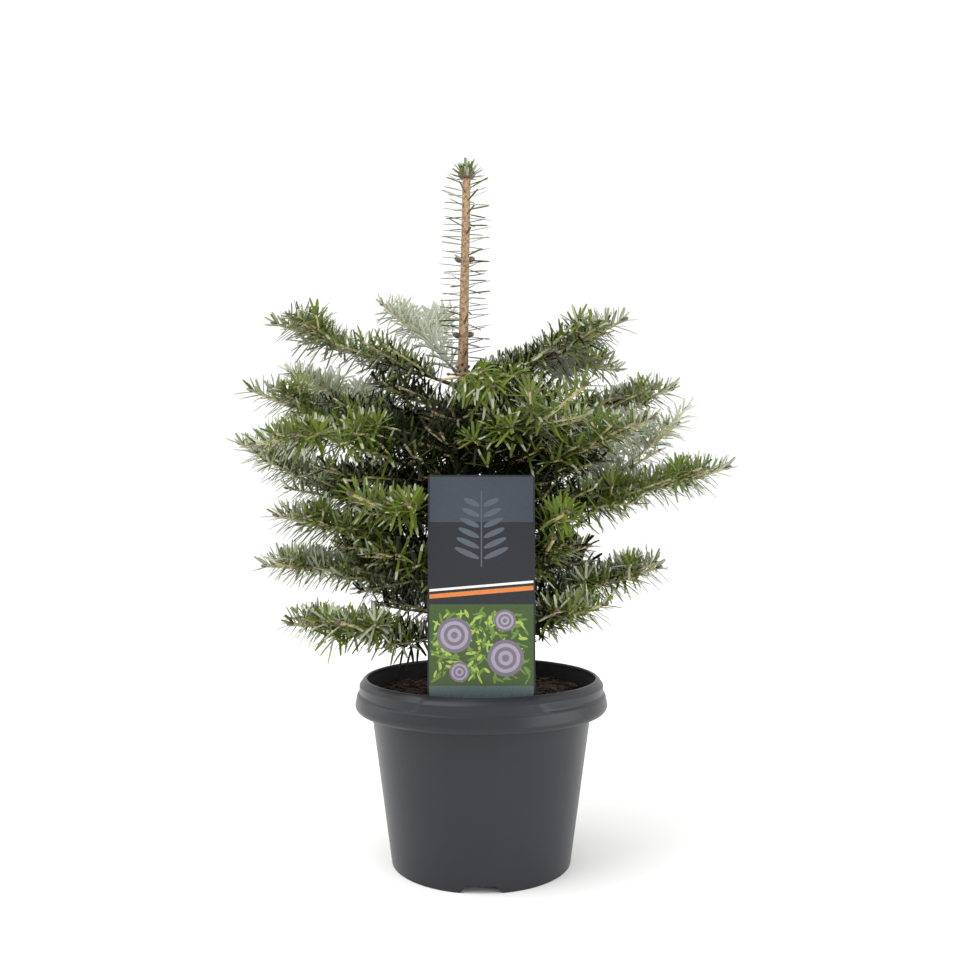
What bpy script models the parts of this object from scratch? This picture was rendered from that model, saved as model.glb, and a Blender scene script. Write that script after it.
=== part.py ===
"""A young Korean fir in a nursery pot, with a plain plant card: the pot, its soil, the trunk, the boughs
and the masses of needles. Metres, +Z up, and the origin in the middle of the pot's flat underside."""

import math
import random

import bmesh
import bpy
from mathutils import Matrix, Vector

# Clear gap that touching pieces keep
GAP = 0.0003

# Pot: an injection moulded container with a hanging collar and a foot ring
POT_HEIGHT = 0.1364
COLLAR_RADIUS = 0.0950
COLLAR_WIDEST_HEIGHT = 0.1170
COLLAR_FOOT_RADIUS = 0.0930
COLLAR_FOOT_HEIGHT = 0.1130
COLLAR_SKIRT = 0.0016
LIP_RADIUS = 0.0878
LIP_WIDTH = 0.0016
BAND_RADIUS = 0.0930
BAND_RECESS = 0.0010
BAND_TOP = 0.1315
BAND_FOOT = 0.1250
POT_FOOT_RADIUS = 0.0670
POT_WALL = 0.0016
WALL_TOP_RADIUS = 0.0862
FLOOR_UNDERSIDE = 0.0065
FLOOR_THICKNESS = 0.0020
HUB_RADIUS = 0.0140
NOTCH_COUNT = 3
NOTCH_TOP_WIDTH = 0.0200
NOTCH_FOOT_WIDTH = 0.0330
NOTCH_HEIGHT = 0.0054
FRONT = -90.0
CARD_PANEL_HALF_ANGLE = 25.0
POT_SIDES = 44

# Soil: fills the pot to a little under its lip
SOIL_TOP = 0.1250
SOIL_SIDES = 40

# Plant card: a thin plastic card on a stake, stood just inside the lip
CARD_WIDTH = 0.0736
CARD_TOP = 0.2856
CARD_FOOT = 0.1280
CARD_THICKNESS = 0.0008
CARD_PLACE = -0.0720
STAKE_WIDTH = 0.0200
STAKE_FOOT = 0.0800

# Trunk: leans a little to the left as far as the top whorl, then runs up straight as this year's leader
TOP_WHORL = 0.356
TRUNK_TOP = 0.5230
TRUNK_FOOT_RADIUS = 0.0072
WHORL_RADIUS = 0.0046
LEADER_RADIUS = 0.0036
TRUNK_TOP_RADIUS = 0.0031
ROOT_FLARE = 0.0030
FLARE_HEIGHT = 0.0100
TRUNK_LEAN = 0.0145
LEADER_LEAN = 0.0032
TRUNK_SIDES = 10
TRUNK_RINGS = 20
LEADER_NEEDLES = 28
BUD_RING_HEIGHTS = (0.3950, 0.4540)

# Boughs: half thickness at the foot and at the tip, at least as long as the bough
BOUGH_SIDES = 6
BOUGH_RINGS = 3
BOUGH_TAPER = 0.45
NEEDLE_LENGTH = 0.0175
NEEDLE_HALF_WIDTH = 0.0017
NEEDLE_PITCH = 0.0145
CORE_RADIUS = 0.0036
SHOOT_TIP_RADIUS = 0.0011
SPACE_MARGIN = 0.0006
GOLDEN_ANGLE = math.radians(137.5)

# Whorls: height of the feet on the trunk, half thickness of a bough's foot, and the bare share of each bough
WHORLS = {
    "top": dict(height=0.356, thick=0.0021, bare=0.12),
    "second": dict(height=0.300, thick=0.0026, bare=0.20),
    "third": dict(height=0.246, thick=0.0028, bare=0.24),
    "fourth": dict(height=0.196, thick=0.0028, bare=0.26),
    "low": dict(height=0.160, thick=0.0024, bare=0.26),
}

# Boughs of each whorl: compass angle seen from above, with -90 towards the front, then how far the tip
# reaches out, how far it stands above the foot, how far the middle bows up and bows round, and the shares
# of the way at which pairs of shoots fork off
BOUGHS = {
    "top": {
        "left": (-172, 0.142, 0.046, 0.000, 0.000, (0.70,)),
        "back_left": (116, 0.134, 0.088, 0.000, 0.000, (0.60,)),
        "right": (-15, 0.124, 0.046, -0.004, 0.000, (0.66,)),
        "back_right": (30, 0.150, 0.026, 0.006, 0.000, (0.60,)),
        "front": (-77, 0.098, -0.012, 0.006, 0.004, (0.62,)),
    },
    "second": {
        "left": (-174, 0.164, 0.052, -0.004, 0.000, (0.42, 0.72)),
        "back_left": (150, 0.182, 0.084, -0.006, 0.000, (0.45, 0.72)),
        "front_left": (-151, 0.166, 0.006, 0.006, 0.000, (0.44, 0.72)),
        "front_right": (-60, 0.150, 0.040, -0.006, 0.000, (0.48,)),
        "right": (-30, 0.146, 0.024, -0.010, 0.000, (0.46, 0.74)),
        "far_right": (7, 0.162, 0.058, -0.004, 0.000, (0.44, 0.72)),
        "back": (92, 0.160, 0.056, -0.004, 0.000, (0.42, 0.70)),
    },
    "third": {
        "far_left": (170, 0.192, 0.070, -0.012, 0.000, (0.46, 0.74)),
        "left": (-167, 0.148, 0.012, -0.006, 0.000, (0.48, 0.74)),
        "front_left": (-128, 0.130, 0.026, -0.006, 0.000, (0.52,)),
        "front": (-58, 0.116, 0.014, -0.004, 0.012, (0.60,)),
        "right": (-9, 0.189, 0.047, -0.006, 0.000, (0.50, 0.76)),
        "back_right": (28, 0.210, 0.106, -0.020, 0.000, (0.46, 0.72)),
        "back": (118, 0.168, 0.050, -0.008, 0.000, (0.44, 0.72)),
    },
    "fourth": {
        "left": (172, 0.170, 0.022, 0.004, 0.000, (0.46, 0.72)),
        "front": (-52, 0.086, 0.046, -0.006, 0.008, (0.62,)),
        "right": (1, 0.138, 0.022, -0.004, 0.000, (0.50, 0.76)),
        "back_right": (58, 0.150, 0.040, -0.008, 0.000, (0.46, 0.72)),
        "back_left": (138, 0.158, 0.030, -0.006, 0.000, (0.46, 0.72)),
    },
    "low": {
        "left": (-163, 0.142, 0.020, 0.000, 0.000, (0.48, 0.74)),
        "right": (-35, 0.106, 0.036, 0.000, 0.000, (0.56,)),
        "back": (97, 0.124, 0.034, 0.000, 0.000, (0.54,)),
    },
}

# Side shoots: how they leave their bough
FORK_ANGLE = 47.0
FORK_ANGLE_SPREAD = 8.0
SIDE_SHARE = 0.72
SIDE_SHARE_SPREAD = 0.14
SIDE_LIFT = 0.10
SHORTEST_SHOOT = 0.018
SHOOT_STEPS = 4
FOOT_STEPS = (0.0, 0.0065, -0.0065, 0.0130, -0.0130)

# Finishes: colour, roughness
FINISHES = {
    "pot": ((0.085, 0.088, 0.093), 0.45),
    "soil": ((0.030, 0.018, 0.012), 0.95),
    "bark": ((0.330, 0.190, 0.095), 0.80),
    "foliage": ((0.060, 0.120, 0.030), 0.50),
    "card": ((0.050, 0.056, 0.064), 0.35),
}


def clear_scene():
    for obj in list(bpy.data.objects):
        bpy.data.objects.remove(obj)


def finish(slot):
    """The material of a slot, made once."""
    made = bpy.data.materials.get(slot)
    if made is None:
        colour, roughness = FINISHES[slot]
        made = bpy.data.materials.new(slot)
        made.use_nodes = True
        shader = made.node_tree.nodes["Principled BSDF"]
        shader.inputs["Base Color"].default_value = (*colour, 1.0)
        shader.inputs["Roughness"].default_value = roughness
    return made


def add_object(name, points, faces, slot, smooth_angle=None):
    """A mesh object in the scene, with its faces turned outwards."""
    mesh = bpy.data.meshes.new(name)
    mesh.from_pydata([tuple(p) for p in points], [], faces)
    work = bmesh.new()
    work.from_mesh(mesh)
    bmesh.ops.recalc_face_normals(work, faces=work.faces)
    work.to_mesh(mesh)
    work.free()
    mesh.materials.append(finish(slot))
    if smooth_angle is not None:
        mesh.shade_smooth()
        mesh.set_sharp_from_angle(angle=math.radians(smooth_angle))
    obj = bpy.data.objects.new(name, mesh)
    bpy.context.scene.collection.objects.link(obj)
    return obj


def turned(name, profile, sides, slot, radius_at=None):
    """A solid turned about Z from a profile that starts and ends on the axis. radius_at may change a radius
    by its angle."""
    points = [Vector((0, 0, profile[0][1]))]
    faces = []
    rings = profile[1:-1]
    for radius, height in rings:
        for k in range(sides):
            angle = 2 * math.pi * k / sides
            r = radius_at(radius, height, angle) if radius_at else radius
            points.append(Vector((r * math.cos(angle), r * math.sin(angle), height)))
    last = len(points)
    points.append(Vector((0, 0, profile[-1][1])))
    for k in range(sides):
        j = (k + 1) % sides
        faces.append((0, 1 + k, 1 + j))
        for ring in range(len(rings) - 1):
            low, high = 1 + ring * sides, 1 + (ring + 1) * sides
            faces.append((low + k, high + k, high + j, low + j))
        foot = 1 + (len(rings) - 1) * sides
        faces.append((foot + k, last, foot + j))
    return add_object(name, points, faces, slot, smooth_angle=35)


def tube(line, radii, sides, axes=None):
    """Points and faces of a closed, tapering limb along a line, one radius for each point of the line. Its
    rings lie across the line, or in the plane of the two axes given."""
    points, faces = [], []
    for k, (centre, radius) in enumerate(zip(line, radii)):
        side, up = axes or cross_axes(line[min(k + 1, len(line) - 1)] - line[max(k - 1, 0)])
        for j in range(sides):
            angle = 2 * math.pi * j / sides
            points.append(centre + radius * (math.cos(angle) * side + math.sin(angle) * up))
    for k in range(len(line) - 1):
        low, high = k * sides, (k + 1) * sides
        for j in range(sides):
            i = (j + 1) % sides
            faces.append((low + j, low + i, high + i, high + j))
    faces.append(tuple(range(sides))[::-1])
    faces.append(tuple(range(len(points) - sides, len(points))))
    return points, faces


def cross_axes(direction):
    """Two unit vectors across a direction: a level one, and the one that points most nearly up."""
    ahead = direction.normalized()
    level = Vector((0, 0, 1)).cross(ahead)
    if level.length < 0.05:
        level = Vector((0, 1, 0)).cross(ahead)
    level.normalize()
    return level, ahead.cross(level)


def pot_wall_radius(height):
    """Outer radius of the pot's tapering wall."""
    share = height / POT_HEIGHT
    return POT_FOOT_RADIUS + (WALL_TOP_RADIUS - POT_FOOT_RADIUS) * share


def collar_radius(radius, height, angle):
    """The collar's upper band is pressed in all round, except at the flush panel in front of the card."""
    if radius != BAND_RADIUS:
        return radius
    away = abs((math.degrees(angle) - FRONT + 180) % 360 - 180)
    return radius if away <= CARD_PANEL_HALF_ANGLE else radius - BAND_RECESS


def make_pot():
    floor_top = FLOOR_UNDERSIDE + FLOOR_THICKNESS
    lip_inner = LIP_RADIUS - LIP_WIDTH
    throat = POT_HEIGHT - 0.009
    profile = [
        (0, floor_top),
        (pot_wall_radius(floor_top) - POT_WALL, floor_top),
        (pot_wall_radius(throat) - POT_WALL, throat),
        (lip_inner, POT_HEIGHT - 0.003),
        (lip_inner, POT_HEIGHT),
        (LIP_RADIUS, POT_HEIGHT),
        (BAND_RADIUS - 0.0018, BAND_TOP + 0.0024),
        (BAND_RADIUS, BAND_TOP),
        (BAND_RADIUS, BAND_FOOT),
        (BAND_RADIUS + 0.0006, BAND_FOOT - 0.0010),
        (COLLAR_RADIUS, COLLAR_WIDEST_HEIGHT),
        (COLLAR_RADIUS - 0.0004, COLLAR_WIDEST_HEIGHT - 0.0020),
        (COLLAR_FOOT_RADIUS, COLLAR_FOOT_HEIGHT),
        (COLLAR_FOOT_RADIUS - COLLAR_SKIRT, COLLAR_FOOT_HEIGHT),
        (BAND_RADIUS - BAND_RECESS - COLLAR_SKIRT, BAND_FOOT - 0.0005),
        (pot_wall_radius(BAND_TOP - 0.002), BAND_TOP - 0.002),
        (pot_wall_radius(0.0), 0.0),
        (pot_wall_radius(0.0) - POT_WALL, 0.0),
        (pot_wall_radius(FLOOR_UNDERSIDE) - POT_WALL, FLOOR_UNDERSIDE),
        (HUB_RADIUS, FLOOR_UNDERSIDE),
        (HUB_RADIUS, 0.0),
        (0, 0.0),
    ]
    pot = turned("pot", profile, POT_SIDES, "pot", collar_radius)
    for k in range(NOTCH_COUNT):
        cut_notch(pot, FRONT + k * 360.0 / NOTCH_COUNT, k)
    return pot


def cut_notch(pot, angle, index):
    """A drainage notch: a trapezium cut through the foot ring."""
    near, far = POT_FOOT_RADIUS - 0.012, POT_FOOT_RADIUS + 0.012
    outline = [
        (-NOTCH_FOOT_WIDTH / 2, -0.002),
        (NOTCH_FOOT_WIDTH / 2, -0.002),
        (NOTCH_TOP_WIDTH / 2, NOTCH_HEIGHT),
        (-NOTCH_TOP_WIDTH / 2, NOTCH_HEIGHT),
    ]
    turn = Matrix.Rotation(math.radians(angle), 3, "Z")
    points = [turn @ Vector((r, y, z)) for r in (near, far) for y, z in outline]
    faces = [(0, 1, 2, 3), (7, 6, 5, 4)]
    faces += [(k, k + 4, (k + 1) % 4 + 4, (k + 1) % 4) for k in range(4)]
    cutter = add_object(f"notch_cutter_{index}", points, faces, "pot")
    hide_helper(cutter)
    cut_with(pot, cutter)


def hide_helper(obj):
    obj.hide_render = True
    obj.display_type = "WIRE"


def cut_with(obj, cutter):
    cut = obj.modifiers.new(cutter.name, "BOOLEAN")
    cut.operation = "DIFFERENCE"
    cut.object = cutter


def make_soil():
    floor = FLOOR_UNDERSIDE + FLOOR_THICKNESS + GAP
    inset = POT_WALL + 2 * GAP
    profile = [
        (0, floor),
        (pot_wall_radius(floor) - inset, floor),
        (pot_wall_radius(SOIL_TOP) - inset - 0.0006, SOIL_TOP),
        (0, SOIL_TOP),
    ]
    soil = turned("soil", profile, SOIL_SIDES, "soil")
    outline = stake_outline(grow=GAP, top=SOIL_TOP + 0.004)
    cutter = plate("stake_cutter", outline, CARD_THICKNESS + 2 * GAP, "soil")
    hide_helper(cutter)
    cut_with(soil, cutter)
    return soil


def stake_outline(grow=0.0, top=CARD_FOOT):
    """The stake below the card, wider by grow on each side: two long edges and a point."""
    half = STAKE_WIDTH / 2 + grow
    shoulder, point = STAKE_FOOT + 0.012, STAKE_FOOT - 2 * grow
    return [(-half, top), (-half, shoulder), (0, point), (half, shoulder), (half, top)]


def plate(name, outline, thickness, slot):
    """A flat plate that faces the front, from an outline of (x, z) points."""
    count = len(outline)
    front = CARD_PLACE - thickness / 2
    points = [Vector((x, front + k * thickness, z)) for k in range(2) for x, z in outline]
    faces = [tuple(range(count)), tuple(range(count, 2 * count))[::-1]]
    faces += [(k, k + count, (k + 1) % count + count, (k + 1) % count) for k in range(count)]
    return add_object(name, points, faces, slot)


def make_card():
    half = CARD_WIDTH / 2
    outline = [(-half, CARD_TOP), (-half, CARD_FOOT), *stake_outline(), (half, CARD_FOOT), (half, CARD_TOP)]
    return plate("plant_card", outline, CARD_THICKNESS, "card")


def trunk_centre(height):
    """The middle of the trunk at a height."""
    below = min(max((height - SOIL_TOP) / (TOP_WHORL - SOIL_TOP), 0.0), 1.0)
    above = max((height - TOP_WHORL) / (TRUNK_TOP - TOP_WHORL), 0.0)
    return Vector((-TRUNK_LEAN * below**1.5 + LEADER_LEAN * above, 0.0, height))


def trunk_radius(height):
    flare = ROOT_FLARE * math.exp(-(height - SOIL_TOP) / FLARE_HEIGHT)
    if height < TOP_WHORL:
        share = (height - SOIL_TOP) / (TOP_WHORL - SOIL_TOP)
        return TRUNK_FOOT_RADIUS + (WHORL_RADIUS - TRUNK_FOOT_RADIUS) * share + flare
    share = (height - TOP_WHORL) / (TRUNK_TOP - TOP_WHORL)
    swell = (WHORL_RADIUS - LEADER_RADIUS) * math.exp(-share * 5)
    return LEADER_RADIUS + (TRUNK_TOP_RADIUS - LEADER_RADIUS) * share + swell


def trunk_heights():
    """Ring heights, closer together in the root flare."""
    foot = SOIL_TOP + GAP
    shares = [(k / TRUNK_RINGS) ** 1.25 for k in range(TRUNK_RINGS + 1)]
    return [foot + (TRUNK_TOP - foot) * share for share in shares]


def make_trunk():
    heights = trunk_heights()
    line = [trunk_centre(h) for h in heights]
    level = (Vector((1, 0, 0)), Vector((0, 1, 0)))
    points, faces = tube(line, [trunk_radius(h) for h in heights], TRUNK_SIDES, level)
    trunk = add_object("trunk", points, faces, "bark", smooth_angle=60)
    pieces = leader_needles() + leader_buds()
    # The exact solver leaves edges that touch on this one
    fuse(trunk, pieces, "MANIFOLD")
    return trunk


def leader_needles():
    """Needles that stand straight out of the leader all round, and a tuft about its tip."""
    pieces = []
    low, high = TOP_WHORL + 0.030, TRUNK_TOP - 0.004
    for k in range(LEADER_NEEDLES):
        share = (k + 0.5) / LEADER_NEEDLES
        height = low + (high - low) * share
        angle = k * GOLDEN_ANGLE
        out = Vector((math.cos(angle), math.sin(angle), 0.12 + 0.5 * share**6)).normalized()
        pieces.append(needle(trunk_centre(height), out, NEEDLE_LENGTH + LEADER_RADIUS))
    top = trunk_centre(TRUNK_TOP - 0.003)
    for k in range(5):
        angle = k * GOLDEN_ANGLE
        out = Vector((0.62 * math.cos(angle), 0.62 * math.sin(angle), 1.0)).normalized()
        pieces.append(needle(top, out, 0.0125))
    return pieces


def leader_buds():
    """The pointed buds at the tip and the small ones in two rings below it."""
    pieces = []
    for k in range(4):
        angle = math.radians(20 + 90 * k)
        out = Vector((math.cos(angle), math.sin(angle), 0.9)).normalized()
        pieces.append(bud(trunk_centre(TRUNK_TOP - 0.005), out, 0.0095, 0.0026))
    for height in BUD_RING_HEIGHTS:
        for k in range(2):
            out = Vector(((-1) ** k, 0.35 * (-1) ** k, 0.15)).normalized()
            pieces.append(bud(trunk_centre(height), out, 0.0078, 0.0021))
    return pieces


def bud(root, direction, length, radius):
    line = [root + direction * length * share for share in (0.0, 0.62, 1.0)]
    return tube(line, (radius * 0.8, radius, radius * 0.25), 5)


def needle(root, direction, length, half_width=NEEDLE_HALF_WIDTH):
    """A needle as a slim three-sided spike, its root sunk in what it grows from."""
    side, up = cross_axes(direction)
    base = [root - half_width * side, root + half_width * side, root + half_width * 0.7 * up]
    return [*base, root + direction * length], [(0, 2, 1), (0, 1, 3), (1, 2, 3), (2, 0, 3)]


def bough_line(whorl, spec, step, low, high, count):
    """Points along a bough between two shares of its way from the trunk's middle to its tip. The foot of the
    bough stands step above its whorl's height."""
    angle, reach, rise, bow_up, bow_round, _ = spec
    foot = trunk_centre(WHORLS[whorl]["height"] + step)
    rise -= step
    out = Vector((math.cos(math.radians(angle)), math.sin(math.radians(angle)), 0))
    across = Vector((-out.y, out.x, 0))
    points = []
    for k in range(count + 1):
        t = low + (high - low) * k / count
        arch = 4 * t * (1 - t)
        lift = rise * t + bow_up * arch
        points.append(foot + out * reach * t + across * bow_round * arch + Vector((0, 0, lift)))
    return points


def length_of(line):
    return sum((b - a).length for a, b in zip(line, line[1:]))


def from_segment(point, a, b):
    """Distance from a point to the stretch between a and b."""
    along = b - a
    share = min(max((point - a).dot(along) / along.length_squared, 0.0), 1.0)
    return (point - a - along * share).length


def from_line(point, line):
    return min(from_segment(point, a, b) for a, b in zip(line, line[1:]))


class Crown:
    """Where the boughs run, and what each mass keeps clear of: other boughs' lines, the trunk, the pot and
    the card."""

    def __init__(self):
        self.steps = {}
        self.lines = {}
        for whorl, boughs in BOUGHS.items():
            for place, spec in boughs.items():
                self.place_foot(whorl, place, spec)

    def place_foot(self, whorl, place, spec):
        """Neighbours on a whorl sit a step higher or lower on the trunk, where their feet would touch."""
        for step in FOOT_STEPS:
            surface = trunk_radius(WHORLS[whorl]["height"]) / spec[1]
            limb = bough_line(whorl, spec, step, surface, 0.5, 8)
            if self.limb_clear(whorl, limb):
                break
        self.steps[whorl, place] = step
        self.lines[whorl, place] = bough_line(whorl, spec, step, 0.0, 1.0, 8)

    def limb_clear(self, whorl, limb):
        for (other, place), step in self.steps.items():
            spec = BOUGHS[other][place]
            surface = trunk_radius(WHORLS[other]["height"]) / spec[1]
            line = bough_line(other, spec, step, surface, 0.5, 8)
            needed = 1.25 * (WHORLS[whorl]["thick"] + WHORLS[other]["thick"]) + 2 * GAP
            if min(from_line(p, line) for p in limb) < needed:
                return False
        return True

    def room(self, point, own, half_width):
        """Whether a point, grown by a half width, lies in the space nearest to its own bough."""
        if point.z < POT_HEIGHT + 0.003 and math.hypot(point.x, point.y) < COLLAR_RADIUS + 0.003:
            return False
        level_with_card = abs(point.y - CARD_PLACE) < half_width + 0.0015 and point.z < CARD_TOP + 0.002
        if level_with_card and abs(point.x) < CARD_WIDTH / 2 + half_width + 0.001:
            return False
        trunk = trunk_centre(min(max(point.z, SOIL_TOP), TRUNK_TOP))
        height = min(max(point.z, SOIL_TOP), TRUNK_TOP)
        if (point - trunk).length < trunk_radius(height) + half_width + 0.0012:
            return False
        mine = from_line(point, self.lines[own])
        needed = mine + 2 * half_width + SPACE_MARGIN
        limb = WHORLS[own[0]]["thick"] + half_width + 0.002
        for other, line in self.lines.items():
            if other == own or (line[4] - point).length > mine + 0.16:
                continue
            if from_line(point, line) < max(needed, limb):
                return False
        return True

    def fits(self, root, tip, own, half_width):
        """Whether a needle, from its root to its tip, stays in its own mass's space."""
        for share in (0.25, 0.5, 0.75, 1.0):
            if not self.room(root.lerp(tip, share), own, half_width * (1.05 - share * 0.8)):
                return False
        return True


def side_shoots(stem, spec, rng):
    """The lines of the side shoots: a pair forks off at each share of the bough's way."""
    lines = []
    for share in spec[5]:
        for side in (-1, 1):
            swing = math.radians(FORK_ANGLE + rng.uniform(-1, 1) * FORK_ANGLE_SPREAD) * side
            reach = (1 - share) * SIDE_SHARE * (1 + rng.uniform(-1, 1) * SIDE_SHARE_SPREAD)
            lift = SIDE_LIFT * rng.uniform(0.2, 1.6)
            lines.append((share, swing, reach, lift))
    return lines


def shoot_line(stem, fork, swing, length, lift):
    """A side shoot's line: it leaves the stem at an angle and curves gently forwards and up."""
    place = fork * (len(stem) - 1)
    k = min(int(place), len(stem) - 2)
    root = stem[k].lerp(stem[k + 1], place - k)
    ahead = (stem[k + 1] - stem[k]).normalized()
    points = [root]
    for step in range(SHOOT_STEPS):
        turn = swing * (1 - 0.30 * step / SHOOT_STEPS)
        out = Matrix.Rotation(turn, 3, "Z") @ ahead
        out.z += lift
        points.append(points[-1] + out.normalized() * length / SHOOT_STEPS)
    return points


def mass_skeleton(whorl, place, spec, crown, rng):
    """The stem of a mass and the side shoots that find room, each a line of points."""
    bare = WHORLS[whorl]["bare"]
    bough = bough_line(whorl, spec, crown.steps[whorl, place], bare, 1.0, 8)
    reach = length_of(crown.lines[whorl, place])
    shoots = [bough]
    for share, swing, part, lift in side_shoots(bough, spec, rng):
        fork = (share - bare) / (1 - bare)
        for size in (1.0, 0.75, 0.5):
            line = shoot_line(bough, fork, swing, reach * part * size, lift)
            clear = all(crown.room(p, (whorl, place), CORE_RADIUS) for p in line[1:])
            if clear and length_of(line) > SHORTEST_SHOOT:
                shoots.append(line)
                break
    return shoots


def shoot_core(line, start_radius, sides):
    """A shoot with the inner part of its needles as one slim body, narrow where it starts and at its tip."""
    middle = line[len(line) // 2]
    first, last = line[0], line[-1]
    swell = first.lerp(line[1], 0.6)
    slim = line[-2].lerp(last, 0.45)
    radii = (start_radius, CORE_RADIUS, CORE_RADIUS, CORE_RADIUS * 0.8, SHOOT_TIP_RADIUS)
    return tube([first, swell, middle, slim, last], radii, sides)


def shoot_needles(line, own, crown, rng):
    """Needles standing out of a shoot, more of them above than below, each skipped where it finds no room."""
    length = length_of(line)
    count = max(3, round(length / NEEDLE_PITCH))
    start = rng.uniform(0, 2 * math.pi)
    pieces = []
    for k in range(count):
        share = 0.10 + 0.86 * (k + 0.5) / count
        place = share * (len(line) - 1)
        i = min(int(place), len(line) - 2)
        root = line[i].lerp(line[i + 1], place - i)
        ahead = (line[i + 1] - line[i]).normalized()
        level, up = cross_axes(ahead)
        angle = start + k * GOLDEN_ANGLE
        out = math.cos(angle) * level + (math.sin(angle) + 0.25) * up
        direction = (out.normalized() + ahead * 0.75).normalized()
        size = NEEDLE_LENGTH * rng.uniform(0.9, 1.1)
        if crown.fits(root, root + direction * size, own, NEEDLE_HALF_WIDTH):
            pieces.append(needle(root, direction, size))
    ahead = (line[-1] - line[-2]).normalized()
    level, up = cross_axes(ahead)
    for k in range(2):
        angle = start + k * math.pi
        direction = (ahead + 0.45 * (math.cos(angle) * level + math.sin(angle) * up)).normalized()
        root = line[-1] - ahead * 0.004
        if crown.fits(root, root + direction * 0.013, own, NEEDLE_HALF_WIDTH):
            pieces.append(needle(root, direction, 0.013))
    return pieces


def fuse(obj, pieces, solver="EXACT"):
    """Joins pieces to an object by one Boolean union, applies it, and keeps the one body that it makes."""
    others = bpy.data.collections.new(obj.name + "_pieces")
    bpy.context.scene.collection.children.link(others)
    for k, (points, faces) in enumerate(pieces):
        piece = add_object(f"{obj.name}_piece_{k}", points, faces, obj.data.materials[0].name)
        bpy.context.scene.collection.objects.unlink(piece)
        others.objects.link(piece)
    join = obj.modifiers.new("join", "BOOLEAN")
    join.operation = "UNION"
    join.operand_type = "COLLECTION"
    join.solver = solver
    join.collection = others
    graph = bpy.context.evaluated_depsgraph_get()
    joined = bpy.data.meshes.new_from_object(obj.evaluated_get(graph))
    obj.modifiers.remove(join)
    obj.data = joined
    for piece in list(others.objects):
        bpy.data.objects.remove(piece)
    bpy.data.collections.remove(others)
    keep_largest_body(joined)


def keep_largest_body(mesh):
    """Drops the loose scraps of a mesh: all but the body with the most faces."""
    work = bmesh.new()
    work.from_mesh(mesh)
    bodies, seen = [], set()
    for vert in work.verts:
        if vert in seen:
            continue
        body, edge = {vert}, [vert]
        while edge:
            for link in edge.pop().link_edges:
                for other in link.verts:
                    if other not in body:
                        body.add(other)
                        edge.append(other)
        seen |= body
        bodies.append(body)
    bodies.sort(key=len)
    for body in bodies[:-1]:
        bmesh.ops.delete(work, geom=list(body), context="VERTS")
    work.to_mesh(mesh)
    work.free()


def trunk_face(height, span, out):
    """How far the trunk reaches in a direction, over a span of heights on both sides of a height."""
    side = 2 * math.pi / TRUNK_SIDES
    angle = math.atan2(out.y, out.x) % side
    corner = math.cos(min(angle, side - angle))
    levels = (height - span, height, height + span)
    return max(trunk_centre(z).dot(out) + trunk_radius(z) * corner for z in levels)


def make_bough(whorl, place, spec, step):
    """The bare part of a bough, from just off the trunk to where its needles start."""
    facts = WHORLS[whorl]
    reach = spec[1]
    foot = (trunk_radius(facts["height"] + step) + 0.002) / reach
    line = bough_line(whorl, spec, step, foot, facts["bare"] - GAP / reach, BOUGH_RINGS)
    radii = [facts["thick"] * (1 - BOUGH_TAPER * k / BOUGH_RINGS) for k in range(BOUGH_RINGS + 1)]
    # The first ring flares into the collar by which a bough sits on the trunk, cut flat to stand against it
    points, faces = tube(line, [radii[0] * 1.2, *radii[1:]], BOUGH_SIDES)
    ahead = (line[1] - line[0]).normalized()
    out = Vector((ahead.x, ahead.y, 0)).normalized()
    face = trunk_face(line[0].z, radii[0] * 1.2, out) + 1.3 * GAP
    for k in range(BOUGH_SIDES):
        points[k] += ahead * (face - points[k].dot(out)) / ahead.dot(out)
    return add_object(f"bough_{whorl}_{place}", points, faces, "bark", smooth_angle=60)


def make_mass(whorl, place, spec, crown, seed):
    rng = random.Random(seed)
    shoots = mass_skeleton(whorl, place, spec, crown, rng)
    start = WHORLS[whorl]["thick"] * (1 - BOUGH_TAPER)
    points, faces = shoot_core(shoots[0], start, 4)
    mass = add_object(f"foliage_{whorl}_{place}", points, faces, "foliage")
    pieces = [shoot_core(line, start * 0.8, 3) for line in shoots[1:]]
    for line in shoots:
        pieces += shoot_needles(line, (whorl, place), crown, rng)
    fuse(mass, pieces)
    return mass


def main():
    clear_scene()
    make_pot()
    make_soil()
    make_card()
    make_trunk()
    crown = Crown()
    seed = 0
    for whorl, boughs in BOUGHS.items():
        for place, spec in boughs.items():
            seed += 1
            make_bough(whorl, place, spec, crown.steps[whorl, place])
            make_mass(whorl, place, spec, crown, seed)


main()
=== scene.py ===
import math
import random

import bmesh
import bpy
import numpy as np
from mathutils import Matrix, Vector, noise


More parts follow.
